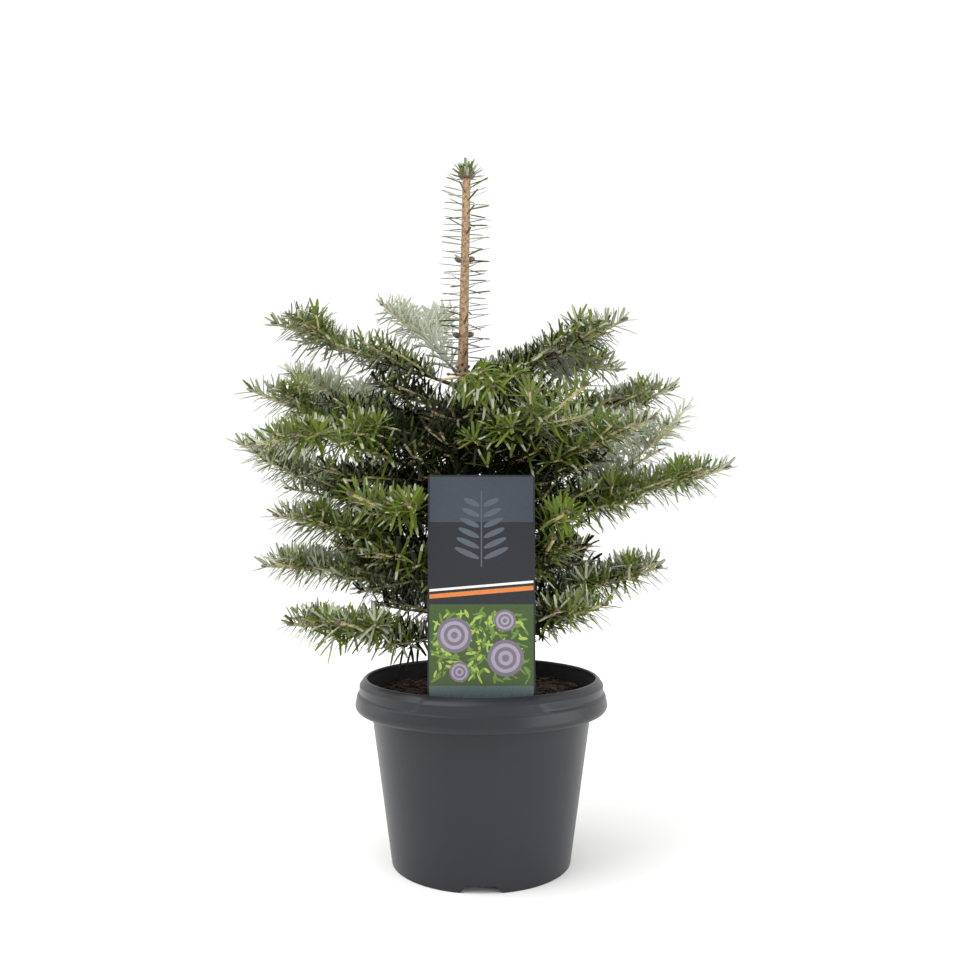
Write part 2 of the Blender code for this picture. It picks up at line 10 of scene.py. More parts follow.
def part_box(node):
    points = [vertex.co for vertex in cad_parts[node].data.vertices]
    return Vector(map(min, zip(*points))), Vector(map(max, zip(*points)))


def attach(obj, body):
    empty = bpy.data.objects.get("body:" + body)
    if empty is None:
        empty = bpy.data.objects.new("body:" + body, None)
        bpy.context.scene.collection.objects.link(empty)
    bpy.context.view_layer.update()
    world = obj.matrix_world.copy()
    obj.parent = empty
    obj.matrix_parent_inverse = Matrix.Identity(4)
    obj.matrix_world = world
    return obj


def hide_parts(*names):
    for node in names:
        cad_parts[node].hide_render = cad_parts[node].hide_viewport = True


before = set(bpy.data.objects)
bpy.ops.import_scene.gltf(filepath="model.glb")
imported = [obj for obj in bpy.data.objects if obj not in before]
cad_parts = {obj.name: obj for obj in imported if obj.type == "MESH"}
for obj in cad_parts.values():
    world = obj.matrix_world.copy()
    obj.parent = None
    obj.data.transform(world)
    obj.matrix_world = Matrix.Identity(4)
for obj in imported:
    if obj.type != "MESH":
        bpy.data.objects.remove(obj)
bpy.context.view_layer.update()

bl_info = {
    "name": "Potted Korean Fir",
    "version": (1, 0, 0),
    "blender": (4, 5, 0),
    "location": "3D View > Sidebar > Fir",
    "description": "Dresses the solids of a young Korean fir in its nursery pot",
    "category": "Object",
}

MILLIMETRE = 0.001

# Pot, soil and card: read from the solids
_, POT_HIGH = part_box("pot")
_, SOIL_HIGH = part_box("soil")
CARD_LOW, CARD_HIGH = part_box("plant_card")
POT_HEIGHT = POT_HIGH[2]
COLLAR_RADIUS = POT_HIGH[0]
SOIL_TOP = SOIL_HIGH[2]
CARD_PLACE = (CARD_LOW[1] + CARD_HIGH[1]) / 2
CARD_WIDTH = CARD_HIGH[0] - CARD_LOW[0]
CARD_TOP = CARD_HIGH[2]

# Pot: the mould's own sizes
COLLAR_WIDEST_HEIGHT = 0.1170
COLLAR_FOOT_RADIUS = 0.0930
COLLAR_FOOT_HEIGHT = 0.1130
COLLAR_SKIRT = 0.0016
LIP_RADIUS = 0.0878
LIP_WIDTH = 0.0016
LIP_DEPTH = 0.0030
THROAT_DEPTH = 0.0090
BAND_RADIUS = 0.0930
BAND_RECESS = 0.0011
BAND_TOP = 0.1315
BAND_FOOT = 0.1250
POT_FOOT_RADIUS = 0.0670
POT_WALL = 0.0016
WALL_TOP_RADIUS = 0.0862
FLOOR_UNDERSIDE = 0.0065
FLOOR_THICKNESS = 0.0020
HUB_RADIUS = 0.0140
MOULD_ROUNDING = 0.0022
POT_SIDES = 192
NOTCH_COUNT = 3
NOTCH_TOP_WIDTH = 0.0200
NOTCH_FOOT_WIDTH = 0.0330
NOTCH_HEIGHT = 0.0054
FRONT = -90.0
PANEL_TOP_HALF_ANGLE = 24.0
PANEL_FOOT_HALF_ANGLE = 27.0
PANEL_CORNER = 0.0055
PANEL_EDGE = 1.6
PANEL_BEAD_HEIGHT = 0.0007
PANEL_BEAD_ANGLE = 1.3
# The pressed-in part of the band fades in over the first range of height and out over the second
RECESS_FOOT = (BAND_FOOT - 0.0002, BAND_FOOT + 0.0012)
RECESS_TOP = (BAND_TOP + 0.0016, BAND_TOP + 0.0046)

# Soil
SOIL_RINGS = 44
SOIL_SIDES = 120
SOIL_DEPTH = 0.012
SUNK_EDGE = 0.0012
# The soil's relief: the fineness of each noise and its height
SOIL_WAVES = ((55, 0.0020), (210, 0.0013), (480, 0.0007))
CRUMB_SIZES = (0.0007, 0.0019)
LARGE_CRUMB_SHARE = 0.12
LARGE_CRUMB_FACTOR = 1.7
# No crumbs lie nearer to the pot's axis, where the trunk stands
CRUMB_CLEARANCE = 0.013
CRUMB_COLOURS = {"bark_crumbs_dark": "#1d1411", "bark_crumbs_red": "#3a241c", "bark_crumbs_pale": "#4c372b"}

# Card
CARD_FOOT = 0.1280
CARD_THICKNESS = 0.0008
STAKE_WIDTH = 0.0200
STAKE_FOOT = 0.0800
PRINT_HALF_WIDTH = CARD_WIDTH / 2 - 0.0012
PRINT_TOP = CARD_TOP - 0.0012
PRINT_FOOT = CARD_FOOT + 0.0004
LEAF_COUNT = 260
# Ringed discs among the printed leaves: place across, share of the field's height, radius
RINGED_DISCS = (
    (-0.0185, 0.62, 0.0120),
    (0.0165, 0.34, 0.0125),
    (0.0160, 0.80, 0.0075),
    (-0.0150, 0.17, 0.0070),
)

# Trunk
TOP_WHORL = 0.356
TRUNK_TOP = 0.5230
TRUNK_FOOT_RADIUS = 0.0072
WHORL_RADIUS = 0.0046
LEADER_RADIUS = 0.0036
TRUNK_TOP_RADIUS = 0.0031
ROOT_FLARE = 0.0030
FLARE_HEIGHT = 0.0100
TRUNK_LEAN = 0.0145
LEADER_LEAN = 0.0032
# Five root lobes at the foot, and a swelling at each whorl, as shares of the trunk's radius
ROOT_LOBES = 0.10
WHORL_SWELLING = 0.13
WHORL_SWELLING_HEIGHT = 0.006
TRUNK_RINGS = 300
TRUNK_SIDES = 28
BUD_RING_HEIGHTS = (0.3950, 0.4540)

# Boughs and shoots: the solids' own rule
GAP = 0.0003
BOUGH_TAPER = 0.45
CORE_RADIUS = 0.0036
SPACE_MARGIN = 0.0006
GOLDEN_ANGLE = math.radians(137.5)
FORK_ANGLE = 47.0
FORK_ANGLE_SPREAD = 8.0
SIDE_SHARE = 0.72
SIDE_SHARE_SPREAD = 0.14
SIDE_LIFT = 0.10
SHORTEST_SHOOT = 0.018
SHOOT_STEPS = 4
FOOT_STEPS = (0.0, 0.0065, -0.0065, 0.0130, -0.0130)
LINE_STEPS = 8
BOUGH_STEPS = 24
BOUGH_SIDES = 14
SHOOT_SIDES = 8
# A bough whose middle is this much further from a point than the point's own bough is never the nearest
FAR_BOUGH = 0.16
# Finer twigs, which only this script grows: where they fork off, and their shortest and longest
TWIG_FORKS = (0.05, 0.20, 0.36, 0.56)
SPARSE_TWIG_FORKS = (0.40,)
INNER_TWIG_FORKS = (0.28, 0.50, 0.72)
SHORTEST_TWIG = 0.026
LONGEST_TWIG = 0.062
TWIG_STEPS = 3
TWIG_RADII = (0.00095, 0.0008)
SHOOT_TIP_RADIUS = 0.00115
RING_SPACING = 0.004

# Where each kind of random draw starts. The masses' own seeds are 1, 2, 3 and on, as the solids have them
CRUMB_SEED = 5
PRINT_SEED = 31
INNER_SEED = 40
TWIG_SEED = 500
NEEDLE_SEED = 900
LEADER_SEED = 77

# Whorls: height of the feet on the trunk, half thickness of a bough's foot, and the bare share of each bough
WHORLS = {
    "top": dict(height=0.356, thick=0.0021, bare=0.12),
    "second": dict(height=0.300, thick=0.0026, bare=0.20),
    "third": dict(height=0.246, thick=0.0028, bare=0.24),
    "fourth": dict(height=0.196, thick=0.0028, bare=0.26),
    "low": dict(height=0.160, thick=0.0024, bare=0.26),
}

# Boughs of each whorl: compass angle seen from above, with -90 towards the front, then how far the tip
# reaches out, how far it stands above the foot, how far the middle bows up and bows round, and the shares
# of the way at which pairs of shoots fork off
BOUGHS = {
    "top": {
        "left": (-172, 0.142, 0.046, 0.000, 0.000, (0.70,)),
        "back_left": (116, 0.134, 0.088, 0.000, 0.000, (0.60,)),
        "right": (-15, 0.124, 0.046, -0.004, 0.000, (0.66,)),
        "back_right": (30, 0.150, 0.026, 0.006, 0.000, (0.60,)),
        "front": (-77, 0.098, -0.012, 0.006, 0.004, (0.62,)),
    },
    "second": {
        "left": (-174, 0.164, 0.052, -0.004, 0.000, (0.42, 0.72)),
        "back_left": (150, 0.182, 0.084, -0.006, 0.000, (0.45, 0.72)),
        "front_left": (-151, 0.166, 0.006, 0.006, 0.000, (0.44, 0.72)),
        "front_right": (-60, 0.150, 0.040, -0.006, 0.000, (0.48,)),
        "right": (-30, 0.146, 0.024, -0.010, 0.000, (0.46, 0.74)),
        "far_right": (7, 0.162, 0.058, -0.004, 0.000, (0.44, 0.72)),
        "back": (92, 0.160, 0.056, -0.004, 0.000, (0.42, 0.70)),
    },
    "third": {
        "far_left": (170, 0.192, 0.070, -0.012, 0.000, (0.46, 0.74)),
        "left": (-167, 0.148, 0.012, -0.006, 0.000, (0.48, 0.74)),
        "front_left": (-128, 0.130, 0.026, -0.006, 0.000, (0.52,)),
        "front": (-58, 0.116, 0.014, -0.004, 0.012, (0.60,)),
        "right": (-9, 0.189, 0.047, -0.006, 0.000, (0.50, 0.76)),
        "back_right": (28, 0.210, 0.106, -0.020, 0.000, (0.46, 0.72)),
        "back": (118, 0.168, 0.050, -0.008, 0.000, (0.44, 0.72)),
    },
    "fourth": {
        "left": (172, 0.170, 0.022, 0.004, 0.000, (0.46, 0.72)),
        "front": (-52, 0.086, 0.046, -0.006, 0.008, (0.62,)),
        "right": (1, 0.138, 0.022, -0.004, 0.000, (0.50, 0.76)),
        "back_right": (58, 0.150, 0.040, -0.008, 0.000, (0.46, 0.72)),
        "back_left": (138, 0.158, 0.030, -0.006, 0.000, (0.46, 0.72)),
    },
    "low": {
        "left": (-163, 0.142, 0.020, 0.000, 0.000, (0.48, 0.74)),
        "right": (-35, 0.106, 0.036, 0.000, 0.000, (0.56,)),
        "back": (97, 0.124, 0.034, 0.000, 0.000, (0.54,)),
    },
}

# Short shoots that grow out of the trunk between the whorls and fill the crown's middle: height, angle,
# reach, rise
INNER_SHOOTS = (
    (0.343, -160, 0.066, 0.014),
    (0.338, -42, 0.070, 0.014),
    (0.336, 20, 0.080, 0.020),
    (0.334, 84, 0.076, 0.018),
    (0.330, 150, 0.090, 0.018),
    (0.322, -176, 0.104, 0.020),
    (0.326, -98, 0.062, 0.006),
    (0.316, -66, 0.066, 0.010),
    (0.306, -104, 0.070, 0.008),
    (0.300, -78, 0.066, 0.010),
    (0.296, -140, 0.096, 0.010),
    (0.294, -50, 0.086, 0.016),
    (0.312, -8, 0.090, 0.022),
    (0.286, -166, 0.110, 0.006),
    (0.284, -112, 0.058, 0.004),
    (0.280, -20, 0.098, 0.018),
    (0.276, 52, 0.100, 0.020),
    (0.274, 132, 0.106, 0.014),
    (0.268, -146, 0.100, 0.002),
    (0.262, -38, 0.080, 0.008),
    (0.232, -172, 0.100, 0.004),
    (0.230, -138, 0.090, 0.002),
    (0.226, -22, 0.086, 0.010),
    (0.222, 38, 0.098, 0.010),
    (0.218, 110, 0.100, 0.008),
    (0.214, 160, 0.100, 0.008),
    (0.184, -12, 0.074, 0.014),
    (0.182, 70, 0.080, 0.014),
    (0.180, 150, 0.080, 0.014),
)
# Their half thickness at both ends, the steps along each, and how far its middle sags
INNER_RADII = (0.0014, 0.0009)
INNER_STEPS = 6
INNER_SAG = 0.006

# Buds: lengths of those at the tips of a stem, a side shoot and a twig
BUD_LENGTHS = (0.0046, 0.0038, 0.0030)
# A bud's half width at each share of its length
BUD_PROFILE = {0.0: 0.70, 0.22: 0.98, 0.5: 1.0, 0.78: 0.72, 0.94: 0.34, 1.0: 0.08}
SCALE_COUNT = 7
# Length and half width of a bud scale, and of the leader's buds: at the tip, about it, along it, at its foot
SCALE_SIZE = (0.0030, 0.0009)
TIP_BUD = (0.0085, 0.0028)
TIP_RING_BUD = (0.0088, 0.0031)
LEADER_BUD = (0.0062, 0.0024)
FOOT_BUD = (0.0040, 0.0013)


def linear(hex_colour):
    """An sRGB hex colour as the linear red, green and blue that Blender's sockets hold."""
    parts = [int(hex_colour[k : k + 2], 16) / 255 for k in (1, 3, 5)]
    return tuple(p / 12.92 if p <= 0.04045 else ((p + 0.055) / 1.055) ** 2.4 for p in parts)


def scale_of(millimetres):
    """The scale of a pattern whose features repeat at that distance."""
    return 1.0 / (millimetres * MILLIMETRE)


# Settings


def metres(name, description, default):
    return bpy.props.FloatProperty(name=name, description=description, default=default, unit="LENGTH")


def tint(name, description, hex_colour):
    return bpy.props.FloatVectorProperty(
        name=name, description=description, subtype="COLOR", default=linear(hex_colour)
    )


class FIR_PG_needles(bpy.types.PropertyGroup):
    length: metres("Length", "Length of a needle on the upper side of a shoot", 0.0172)
    width: metres("Width", "Full width of a needle's blade", 0.0020)
    spacing: metres("Spacing", "Length of shoot for each needle on it", 0.00082)
    fresh: tint("Fresh green", "Upper face of this year's needles", "#5b6c24")
    mid: tint("Mid green", "Upper face of most needles", "#5b6932")
    deep: tint("Deep green", "Upper face of older needles", "#3f4c1c")
    # Painted shade: needles deep in the crown take this dark colour for their shade as well as their age
    old: tint("Old green", "Needles in the crown's shade", "#1a2006")
    silver: tint("Silver", "Waxy under face of most needles", "#cdd2c2")
    pale: tint("Pale green", "Under face of needles with thin wax", "#a4aa90")
    # Also painted light: on the sunlit boughs a share of the needles take this pale colour
    worn: tint("Worn tips", "Upper face near a needle's tip", "#9fa58b")


class FIR_PG_bark(bpy.types.PropertyGroup):
    relief: metres("Relief", "Height of the bark's ridges", 0.00022)
    trunk: tint("Trunk", "Young fir bark", "#a08465")
    scars: tint("Scars", "Specks left by fallen needles", "#5a3f2a")
    wood: tint("Older shoots", "Bark of last year's shoots", "#4d3f33")
    green: tint("Young shoots", "Skin of this year's shoots", "#b9ad7c")
    bud: tint("Buds", "Resinous bud scales", "#604b3b")


class FIR_PG_pot(bpy.types.PropertyGroup):
    plastic: tint("Plastic", "Colour of the moulded pot", "#25262a")
    peat: tint("Peat", "Colour of the potting soil", "#1c1310")
    lumps: bpy.props.IntProperty(
        name="Lumps", description="Bark chips and crumbs that lie on the soil", default=900, min=0
    )


class FIR_PG_card(bpy.types.PropertyGroup):
    ground: tint("Ground", "Ink of the card's ground", "#232429")
    slate: tint("Slate", "Ink of the upper field", "#3a4149")
    stripe: tint("Stripe", "Ink of the warm stripe", "#c8763a")
    foot: tint("Foot", "Ink of the foot band", "#50605f")


class FIR_PG_stage(bpy.types.PropertyGroup):
    distance: metres("Distance", "Camera's distance from the pot's axis", 0.70)
    height: metres("Height", "Camera's height above the floor", 0.2567)
    tilt: bpy.props.FloatProperty(
        name="Tilt", description="How far the camera looks up", default=math.radians(2.32), subtype="ANGLE",
        unit="ROTATION",
    )
    focal: bpy.props.FloatProperty(
        name="Focal length", description="Camera's focal length in millimetres", default=34.24
    )
    floor: tint("Floor", "Pale studio floor", "#fcfcfb")


# Materials


def add_node(tree, kind, settings=None, values=None, links=None):
    """Adds a shader node: settings are its own properties, values its sockets', links its inputs' sources."""
    made = tree.nodes.new(kind)
    for name, value in (settings or {}).items():
        setattr(made, name, value)
    for socket, value in (values or {}).items():
        made.inputs[socket].default_value = value
    for socket, source in (links or {}).items():
        tree.links.new(source, made.inputs[socket])
    return made


def surface(name, **values):
    """A new material with its Principled shader's sockets set."""
    made = bpy.data.materials.get(name) or bpy.data.materials.new(name)
    made.use_nodes = True
    shader = made.node_tree.nodes["Principled BSDF"]
    for socket, value in values.items():
        socket = socket.replace("_", " ")
        shader.inputs[socket].default_value = (*value, 1.0) if isinstance(value, (tuple, list)) else value
    made.diffuse_color = shader.inputs["Base Color"].default_value
    return made, made.node_tree, shader


def shade_of(colour, factor):
    return tuple(min(c * factor, 1.0) for c in colour)


def blended(tree, value, low, high, one, other, most=1.0):
    """A colour that goes from one to the other while a value runs from low to high, or most of the way there.

    Each of the two is a tuple or another node's output.
    """
    share = add_node(
        tree, "ShaderNodeMapRange", values={"From Min": low, "From Max": high, "To Max": most},
        links={"Value": value},
    )
    mix = add_node(tree, "ShaderNodeMix", {"data_type": "RGBA"}, links={"Factor": share.outputs["Result"]})
    for socket, colour in ((6, one), (7, other)):
        if isinstance(colour, tuple):
            mix.inputs[socket].default_value = (*colour, 1.0)
        else:
            tree.links.new(colour, mix.inputs[socket])
    return mix.outputs[2]


def spotted(tree, shader, colour, other, millimetres, low, high, detail=4.0):
    """Paints another colour over the base wherever a noise of that size rises from low to high."""
    place = add_node(tree, "ShaderNodeTexCoord")
    cloud = add_node(
        tree, "ShaderNodeTexNoise", values={"Scale": scale_of(millimetres), "Detail": detail},
        links={"Vector": place.outputs["Object"]},
    )
    painted = blended(tree, cloud.outputs["Fac"], low, high, colour, other)
    tree.links.new(painted, shader.inputs["Base Color"])
    return place, painted


def grained(tree, shader, place, millimetres, distance, strength):
    """Raises a fine grain on the surface."""
    cloud = add_node(
        tree, "ShaderNodeTexNoise", values={"Scale": scale_of(millimetres), "Detail": 3.0},
        links={"Vector": place.outputs["Object"]},
    )
    bump = add_node(
        tree, "ShaderNodeBump", values={"Strength": strength, "Distance": distance},
        links={"Height": cloud.outputs["Fac"]},
    )
    tree.links.new(bump.outputs["Normal"], shader.inputs["Normal"])


def clouded(name, base, colours, spots, grain=None, **values):
    """A material that clouds over between two colours, with a grain raised on it.

    spots holds the clouds' size in millimetres and the two noise values between which they fade, and grain
    the grain's size in millimetres, its height and its strength.
    """
    made, tree, shader = surface(name, Base_Color=base, **values)
    place, _ = spotted(tree, shader, *colours, *spots)
    if grain:
        grained(tree, shader, place, *grain)
    return made


def shades(colour, dark, light):
    return shade_of(colour, dark), shade_of(colour, light)


def moulded_polypropylene(settings):
    """Injection-moulded polypropylene: a spark-eroded mould leaves a satin skin, bright at its edges."""
    colour = tuple(settings.plastic)
    # The mould's grain is about 0.1 mm; it is drawn at 0.6 mm, so that it shows
    return clouded(
        "moulded_polypropylene", colour, (colour, shade_of(colour, 1.12)), (45.0, 0.40, 0.75),
        (0.6, 0.00003, 0.35), Roughness=0.36, IOR=1.49, Specular_IOR_Level=0.3,
    )


def peat_stained_polypropylene(settings):
    """The pot's inner wall: the same plastic under a film of damp peat, which leaves it dull, painted much
    darker as the shade inside the pot.
    """
    colour = tuple(settings.plastic)
    return clouded(
        "peat_stained_polypropylene", colour, shades(colour, 0.30, 0.55), (12.0, 0.35, 0.70),
        (0.8, 0.0001, 0.5), Roughness=0.7, IOR=1.49, Specular_IOR_Level=0.15,
    )


def peat_and_bark(settings):
    """Milled peat with crumbs of composted bark: dark and quite dull, with redder crumbs."""
    colour = tuple(settings.peat)
    return clouded(
        "peat_and_bark", colour, (shade_of(colour, 0.55), linear("#5b3d30")), (3.2, 0.42, 0.70, 6.0),
        (0.8, 0.0006, 0.8), Roughness=0.92, IOR=1.35,
    )


def composted_bark(name, colour):
    """Composted pine bark: fibrous chips, a little redder and lighter than the peat."""
    colours = shades(colour, 0.6, 1.5)
    return clouded(name, colour, colours, (1.6, 0.35, 0.7), (0.6, 0.0003, 0.6), Roughness=0.85, IOR=1.4)


def young_fir_bark(settings):
    """Smooth young fir bark: tan cork, with dark specks where needles fell, about 2 mm apart."""
    colour = tuple(settings.trunk)
    made, tree, shader = surface("young_fir_bark", Base_Color=colour, Roughness=0.72, IOR=1.45)
    place, cork = spotted(tree, shader, *shades(colour, 0.58, 1.20), 2.6, 0.38, 0.60)
    cells = add_node(
        tree, "ShaderNodeTexVoronoi", values={"Scale": scale_of(2.6), "Randomness": 0.85},
        links={"Vector": place.outputs["Object"]},
    )
    specked = blended(tree, cells.outputs["Distance"], 0.36, 0.16, cork, tuple(settings.scars), 0.85)
    # Under the top whorl the bark is a year older and greyer, and painted much darker as the shade inside the
    # crown
    parts = add_node(tree, "ShaderNodeSeparateXYZ", links={"Vector": place.outputs["Object"]})
    old, young = TOP_WHORL - 0.012, TOP_WHORL + 0.014
    aged_and_shaded = blended(tree, parts.outputs["Z"], young, old, specked, linear("#3f3127"))
    tree.links.new(aged_and_shaded, shader.inputs["Base Color"])
    grained(tree, shader, place, 0.9, 0.0003, 0.6)
    return made


def shoot_bark(name, colour, roughness):
    """Skin of a shoot: waxy and bright in its first year, then dull brown cork. Grooves run 0.7 mm apart."""
    colours = shades(colour, 0.70, 1.22)
    spots, grain = (3.5, 0.35, 0.66), (0.7, 0.0002, 0.5)
    return clouded(name, colour, colours, spots, grain, Roughness=roughness, IOR=1.45)


def resinous_scales(settings):
    """Bud scales glazed with resin: brown and glossy."""
    colour = tuple(settings.bud)
    return clouded(
        "resinous_bud_scales", colour, shades(colour, 0.55, 1.35), (1.3, 0.38, 0.62), (0.6, 0.0002, 0.6),
        Roughness=0.42, IOR=1.5, Coat_Weight=0.35, Coat_Roughness=0.2,
    )


def needle_cuticle(name, colour, roughness):
    """A needle's face: cuticle with a sheen above, or chalky wax below. Its colour is dealt out by spray."""
    made, _, _ = surface(name, Base_Color=colour, Roughness=roughness, IOR=1.38, Specular_IOR_Level=0.25)
    return made


def printed_ink(name, colour):
    """Offset ink on a matt polypropylene card: even colour, with the board's faint 1 mm mottle."""
    colours = shades(colour, 0.92, 1.08)
    spots = (1.0, 0.3, 0.7, 2.0)
    return clouded(name, colour, colours, spots, Roughness=0.42, IOR=1.5, Specular_IOR_Level=0.3)


def matt_floor(colour):
    """Matt painted studio floor, which gives the part a quiet ground and soft light from below."""
    colours = (colour, shade_of(colour, 0.995))
    return clouded("matt_studio_paint", colour, colours, (300.0, 0.4, 0.6), Roughness=0.9)


# Meshes


def mesh_object(name, points, faces, slots, materials, smooth_angle=None):
    """An object from points, faces and the material number of each face."""
    mesh = bpy.data.meshes.new(name)
    mesh.from_pydata(points, [], faces)
    for material in materials:
        mesh.materials.append(material)
    mesh.polygons.foreach_set("material_index", slots)
    if smooth_angle is not None:
        mesh.shade_smooth()
        mesh.set_sharp_from_angle(angle=math.radians(smooth_angle))
    mesh.update()
    made = bpy.data.objects.new(name, mesh)
    bpy.context.scene.collection.objects.link(made)
    return made


class Build:
    """Points, faces and material numbers of one joined mesh."""

    def __init__(self):
        self.points = []
        self.faces = []
        self.slots = []

    def add(self, points, faces, slot=0):
        start = len(self.points)
        self.points += [tuple(p) for p in points]
        self.faces += [tuple(start + i for i in face) for face in faces]
        self.slots += [slot] * len(faces)

    def mesh_object(self, name, materials, smooth_angle=None):
        return mesh_object(name, self.points, self.faces, self.slots, materials, smooth_angle)


def polar(angle, radius=1.0, height=0.0):
    return Vector((radius * math.cos(angle), radius * math.sin(angle), height))


def cross_axes(direction):
    """Two unit vectors across a direction: a level one, and the one that points most nearly up."""
    ahead = direction.normalized()
    level = Vector((0, 0, 1)).cross(ahead)
    if level.length < 0.05:
        level = Vector((0, 1, 0)).cross(ahead)
    level.normalize()
    return level, ahead.cross(level)


def tube(line, radii, sides, axes=None, relief=None):
    """Points and faces of a closed limb along a line. relief(k, j) may change the radius of a point."""
    points, faces = [], []
    for k, (centre, radius) in enumerate(zip(line, radii)):
        side, up = axes or cross_axes(line[min(k + 1, len(line) - 1)] - line[max(k - 1, 0)])
        for j in range(sides):
            angle = 2 * math.pi * j / sides
            r = radius * relief(k, j) if relief else radius
            points.append(centre + r * (math.cos(angle) * side + math.sin(angle) * up))
    for k in range(len(line) - 1):
        low, high = k * sides, (k + 1) * sides
        for j in range(sides):
            i = (j + 1) % sides
            faces.append((low + j, low + i, high + i, high + j))
    faces.append(tuple(range(sides))[::-1])
    faces.append(tuple(range(len(points) - sides, len(points))))
    return points, faces


def turned(profile, sides, radius_at=None):
    """Points and faces of a solid turned about Z, from a profile that starts and ends on the axis."""
    points = [Vector((0, 0, profile[0][1]))]
    faces = []
    rings = profile[1:-1]
    for radius, height in rings:
        for k in range(sides):
            angle = 2 * math.pi * k / sides
            r = radius_at(radius, height, angle) if radius_at else radius
            points.append(polar(angle, r, height))
    last = len(points)
    points.append(Vector((0, 0, profile[-1][1])))
    for k in range(sides):
        j = (k + 1) % sides
        faces.append((0, 1 + j, 1 + k))
        for ring in range(len(rings) - 1):
            low, high = 1 + ring * sides, 1 + (ring + 1) * sides
            faces.append((low + k, low + j, high + j, high + k))
        foot = 1 + (len(rings) - 1) * sides
        faces.append((foot + k, foot + j, last))
    return points, faces


def prism_faces(count):
    """Both ends and then the sides of a prism with that many corners, given outline after outline."""
    ends = [tuple(range(count)), tuple(range(2 * count - 1, count - 1, -1))]
    return ends + [(k, k + count, (k + 1) % count + count, (k + 1) % count) for k in range(count)]


def turn_outwards(obj):
    """Makes every face of a closed mesh point outwards."""
    work = bmesh.new()
    work.from_mesh(obj.data)
    bmesh.ops.recalc_face_normals(work, faces=work.faces)
    work.to_mesh(obj.data)
    work.free()


def fillet(profile, radius, steps=3):
    """Rounds the corners of a profile that are marked soft. A corner is a radius, a height and its mark."""
    out = []
    for k, (*place, soft) in enumerate(profile):
        if not soft:
            out.append(tuple(place))
            continue
        before, here, after = (Vector(profile[i][:2]) for i in (k - 1, k, k + 1))
        reach = min(radius, (before - here).length * 0.45, (after - here).length * 0.45)
        start = here + (before - here).normalized() * reach
        end = here + (after - here).normalized() * reach
        for step in range(steps + 1):
            t = step / steps
            out.append(tuple((1 - t) ** 2 * start + 2 * t * (1 - t) * here + t**2 * end))
    return out


def smooth_step(value, low, high):
    t = min(max((value - low) / (high - low), 0.0), 1.0)
    return t * t * (3 - 2 * t)


# The tree's frame: the solids' rule, written again


def trunk_centre(height):
    """The middle of the trunk at a height."""
    below = min(max((height - SOIL_TOP) / (TOP_WHORL - SOIL_TOP), 0.0), 1.0)
    above = max((height - TOP_WHORL) / (TRUNK_TOP - TOP_WHORL), 0.0)
    return Vector((-TRUNK_LEAN * below**1.5 + LEADER_LEAN * above, 0.0, height))


def trunk_radius(height):
    flare = ROOT_FLARE * math.exp(-(height - SOIL_TOP) / FLARE_HEIGHT)
    if height < TOP_WHORL:
        share = (height - SOIL_TOP) / (TOP_WHORL - SOIL_TOP)
        return TRUNK_FOOT_RADIUS + (WHORL_RADIUS - TRUNK_FOOT_RADIUS) * share + flare
    share = (height - TOP_WHORL) / (TRUNK_TOP - TOP_WHORL)
    swell = (WHORL_RADIUS - LEADER_RADIUS) * math.exp(-share * 5)
    return LEADER_RADIUS + (TRUNK_TOP_RADIUS - LEADER_RADIUS) * share + swell


def bough_line(whorl, spec, step, low, high, count):
    """Points along a bough between two shares of its way. Its foot stands step above its whorl's height."""
    angle, reach, rise, bow_up, bow_round, _ = spec
    foot = trunk_centre(WHORLS[whorl]["height"] + step)
    rise -= step
    out = polar(math.radians(angle))
    across = Vector((-out.y, out.x, 0))
    points = []
    for k in range(count + 1):
        t = low + (high - low) * k / count
        arch = 4 * t * (1 - t)
        lift = rise * t + bow_up * arch
        points.append(foot + out * reach * t + across * bow_round * arch + Vector((0, 0, lift)))
    return points


def length_of(line):
    return sum((b - a).length for a, b in zip(line, line[1:]))


def from_segment(point, a, b):
    """Distance from a point to the stretch between a and b."""
    along = b - a
    share = min(max((point - a).dot(along) / along.length_squared, 0.0), 1.0)
    return (point - a - along * share).length


def from_line(point, line):
    return min(from_segment(point, a, b) for a, b in zip(line, line[1:]))


def over_pot(point, above, beyond):
    """Whether a point is less than so far above the pot's rim and less than so far beyond its collar."""
    return point.z < POT_HEIGHT + above and math.hypot(point.x, point.y) < COLLAR_RADIUS + beyond


def level_with_card(point, above, beyond):
    """Whether a point is less than so far above the card's top and less than so far beyond its edges."""
    return point.z < CARD_TOP + above and abs(point.x) < CARD_WIDTH / 2 + beyond


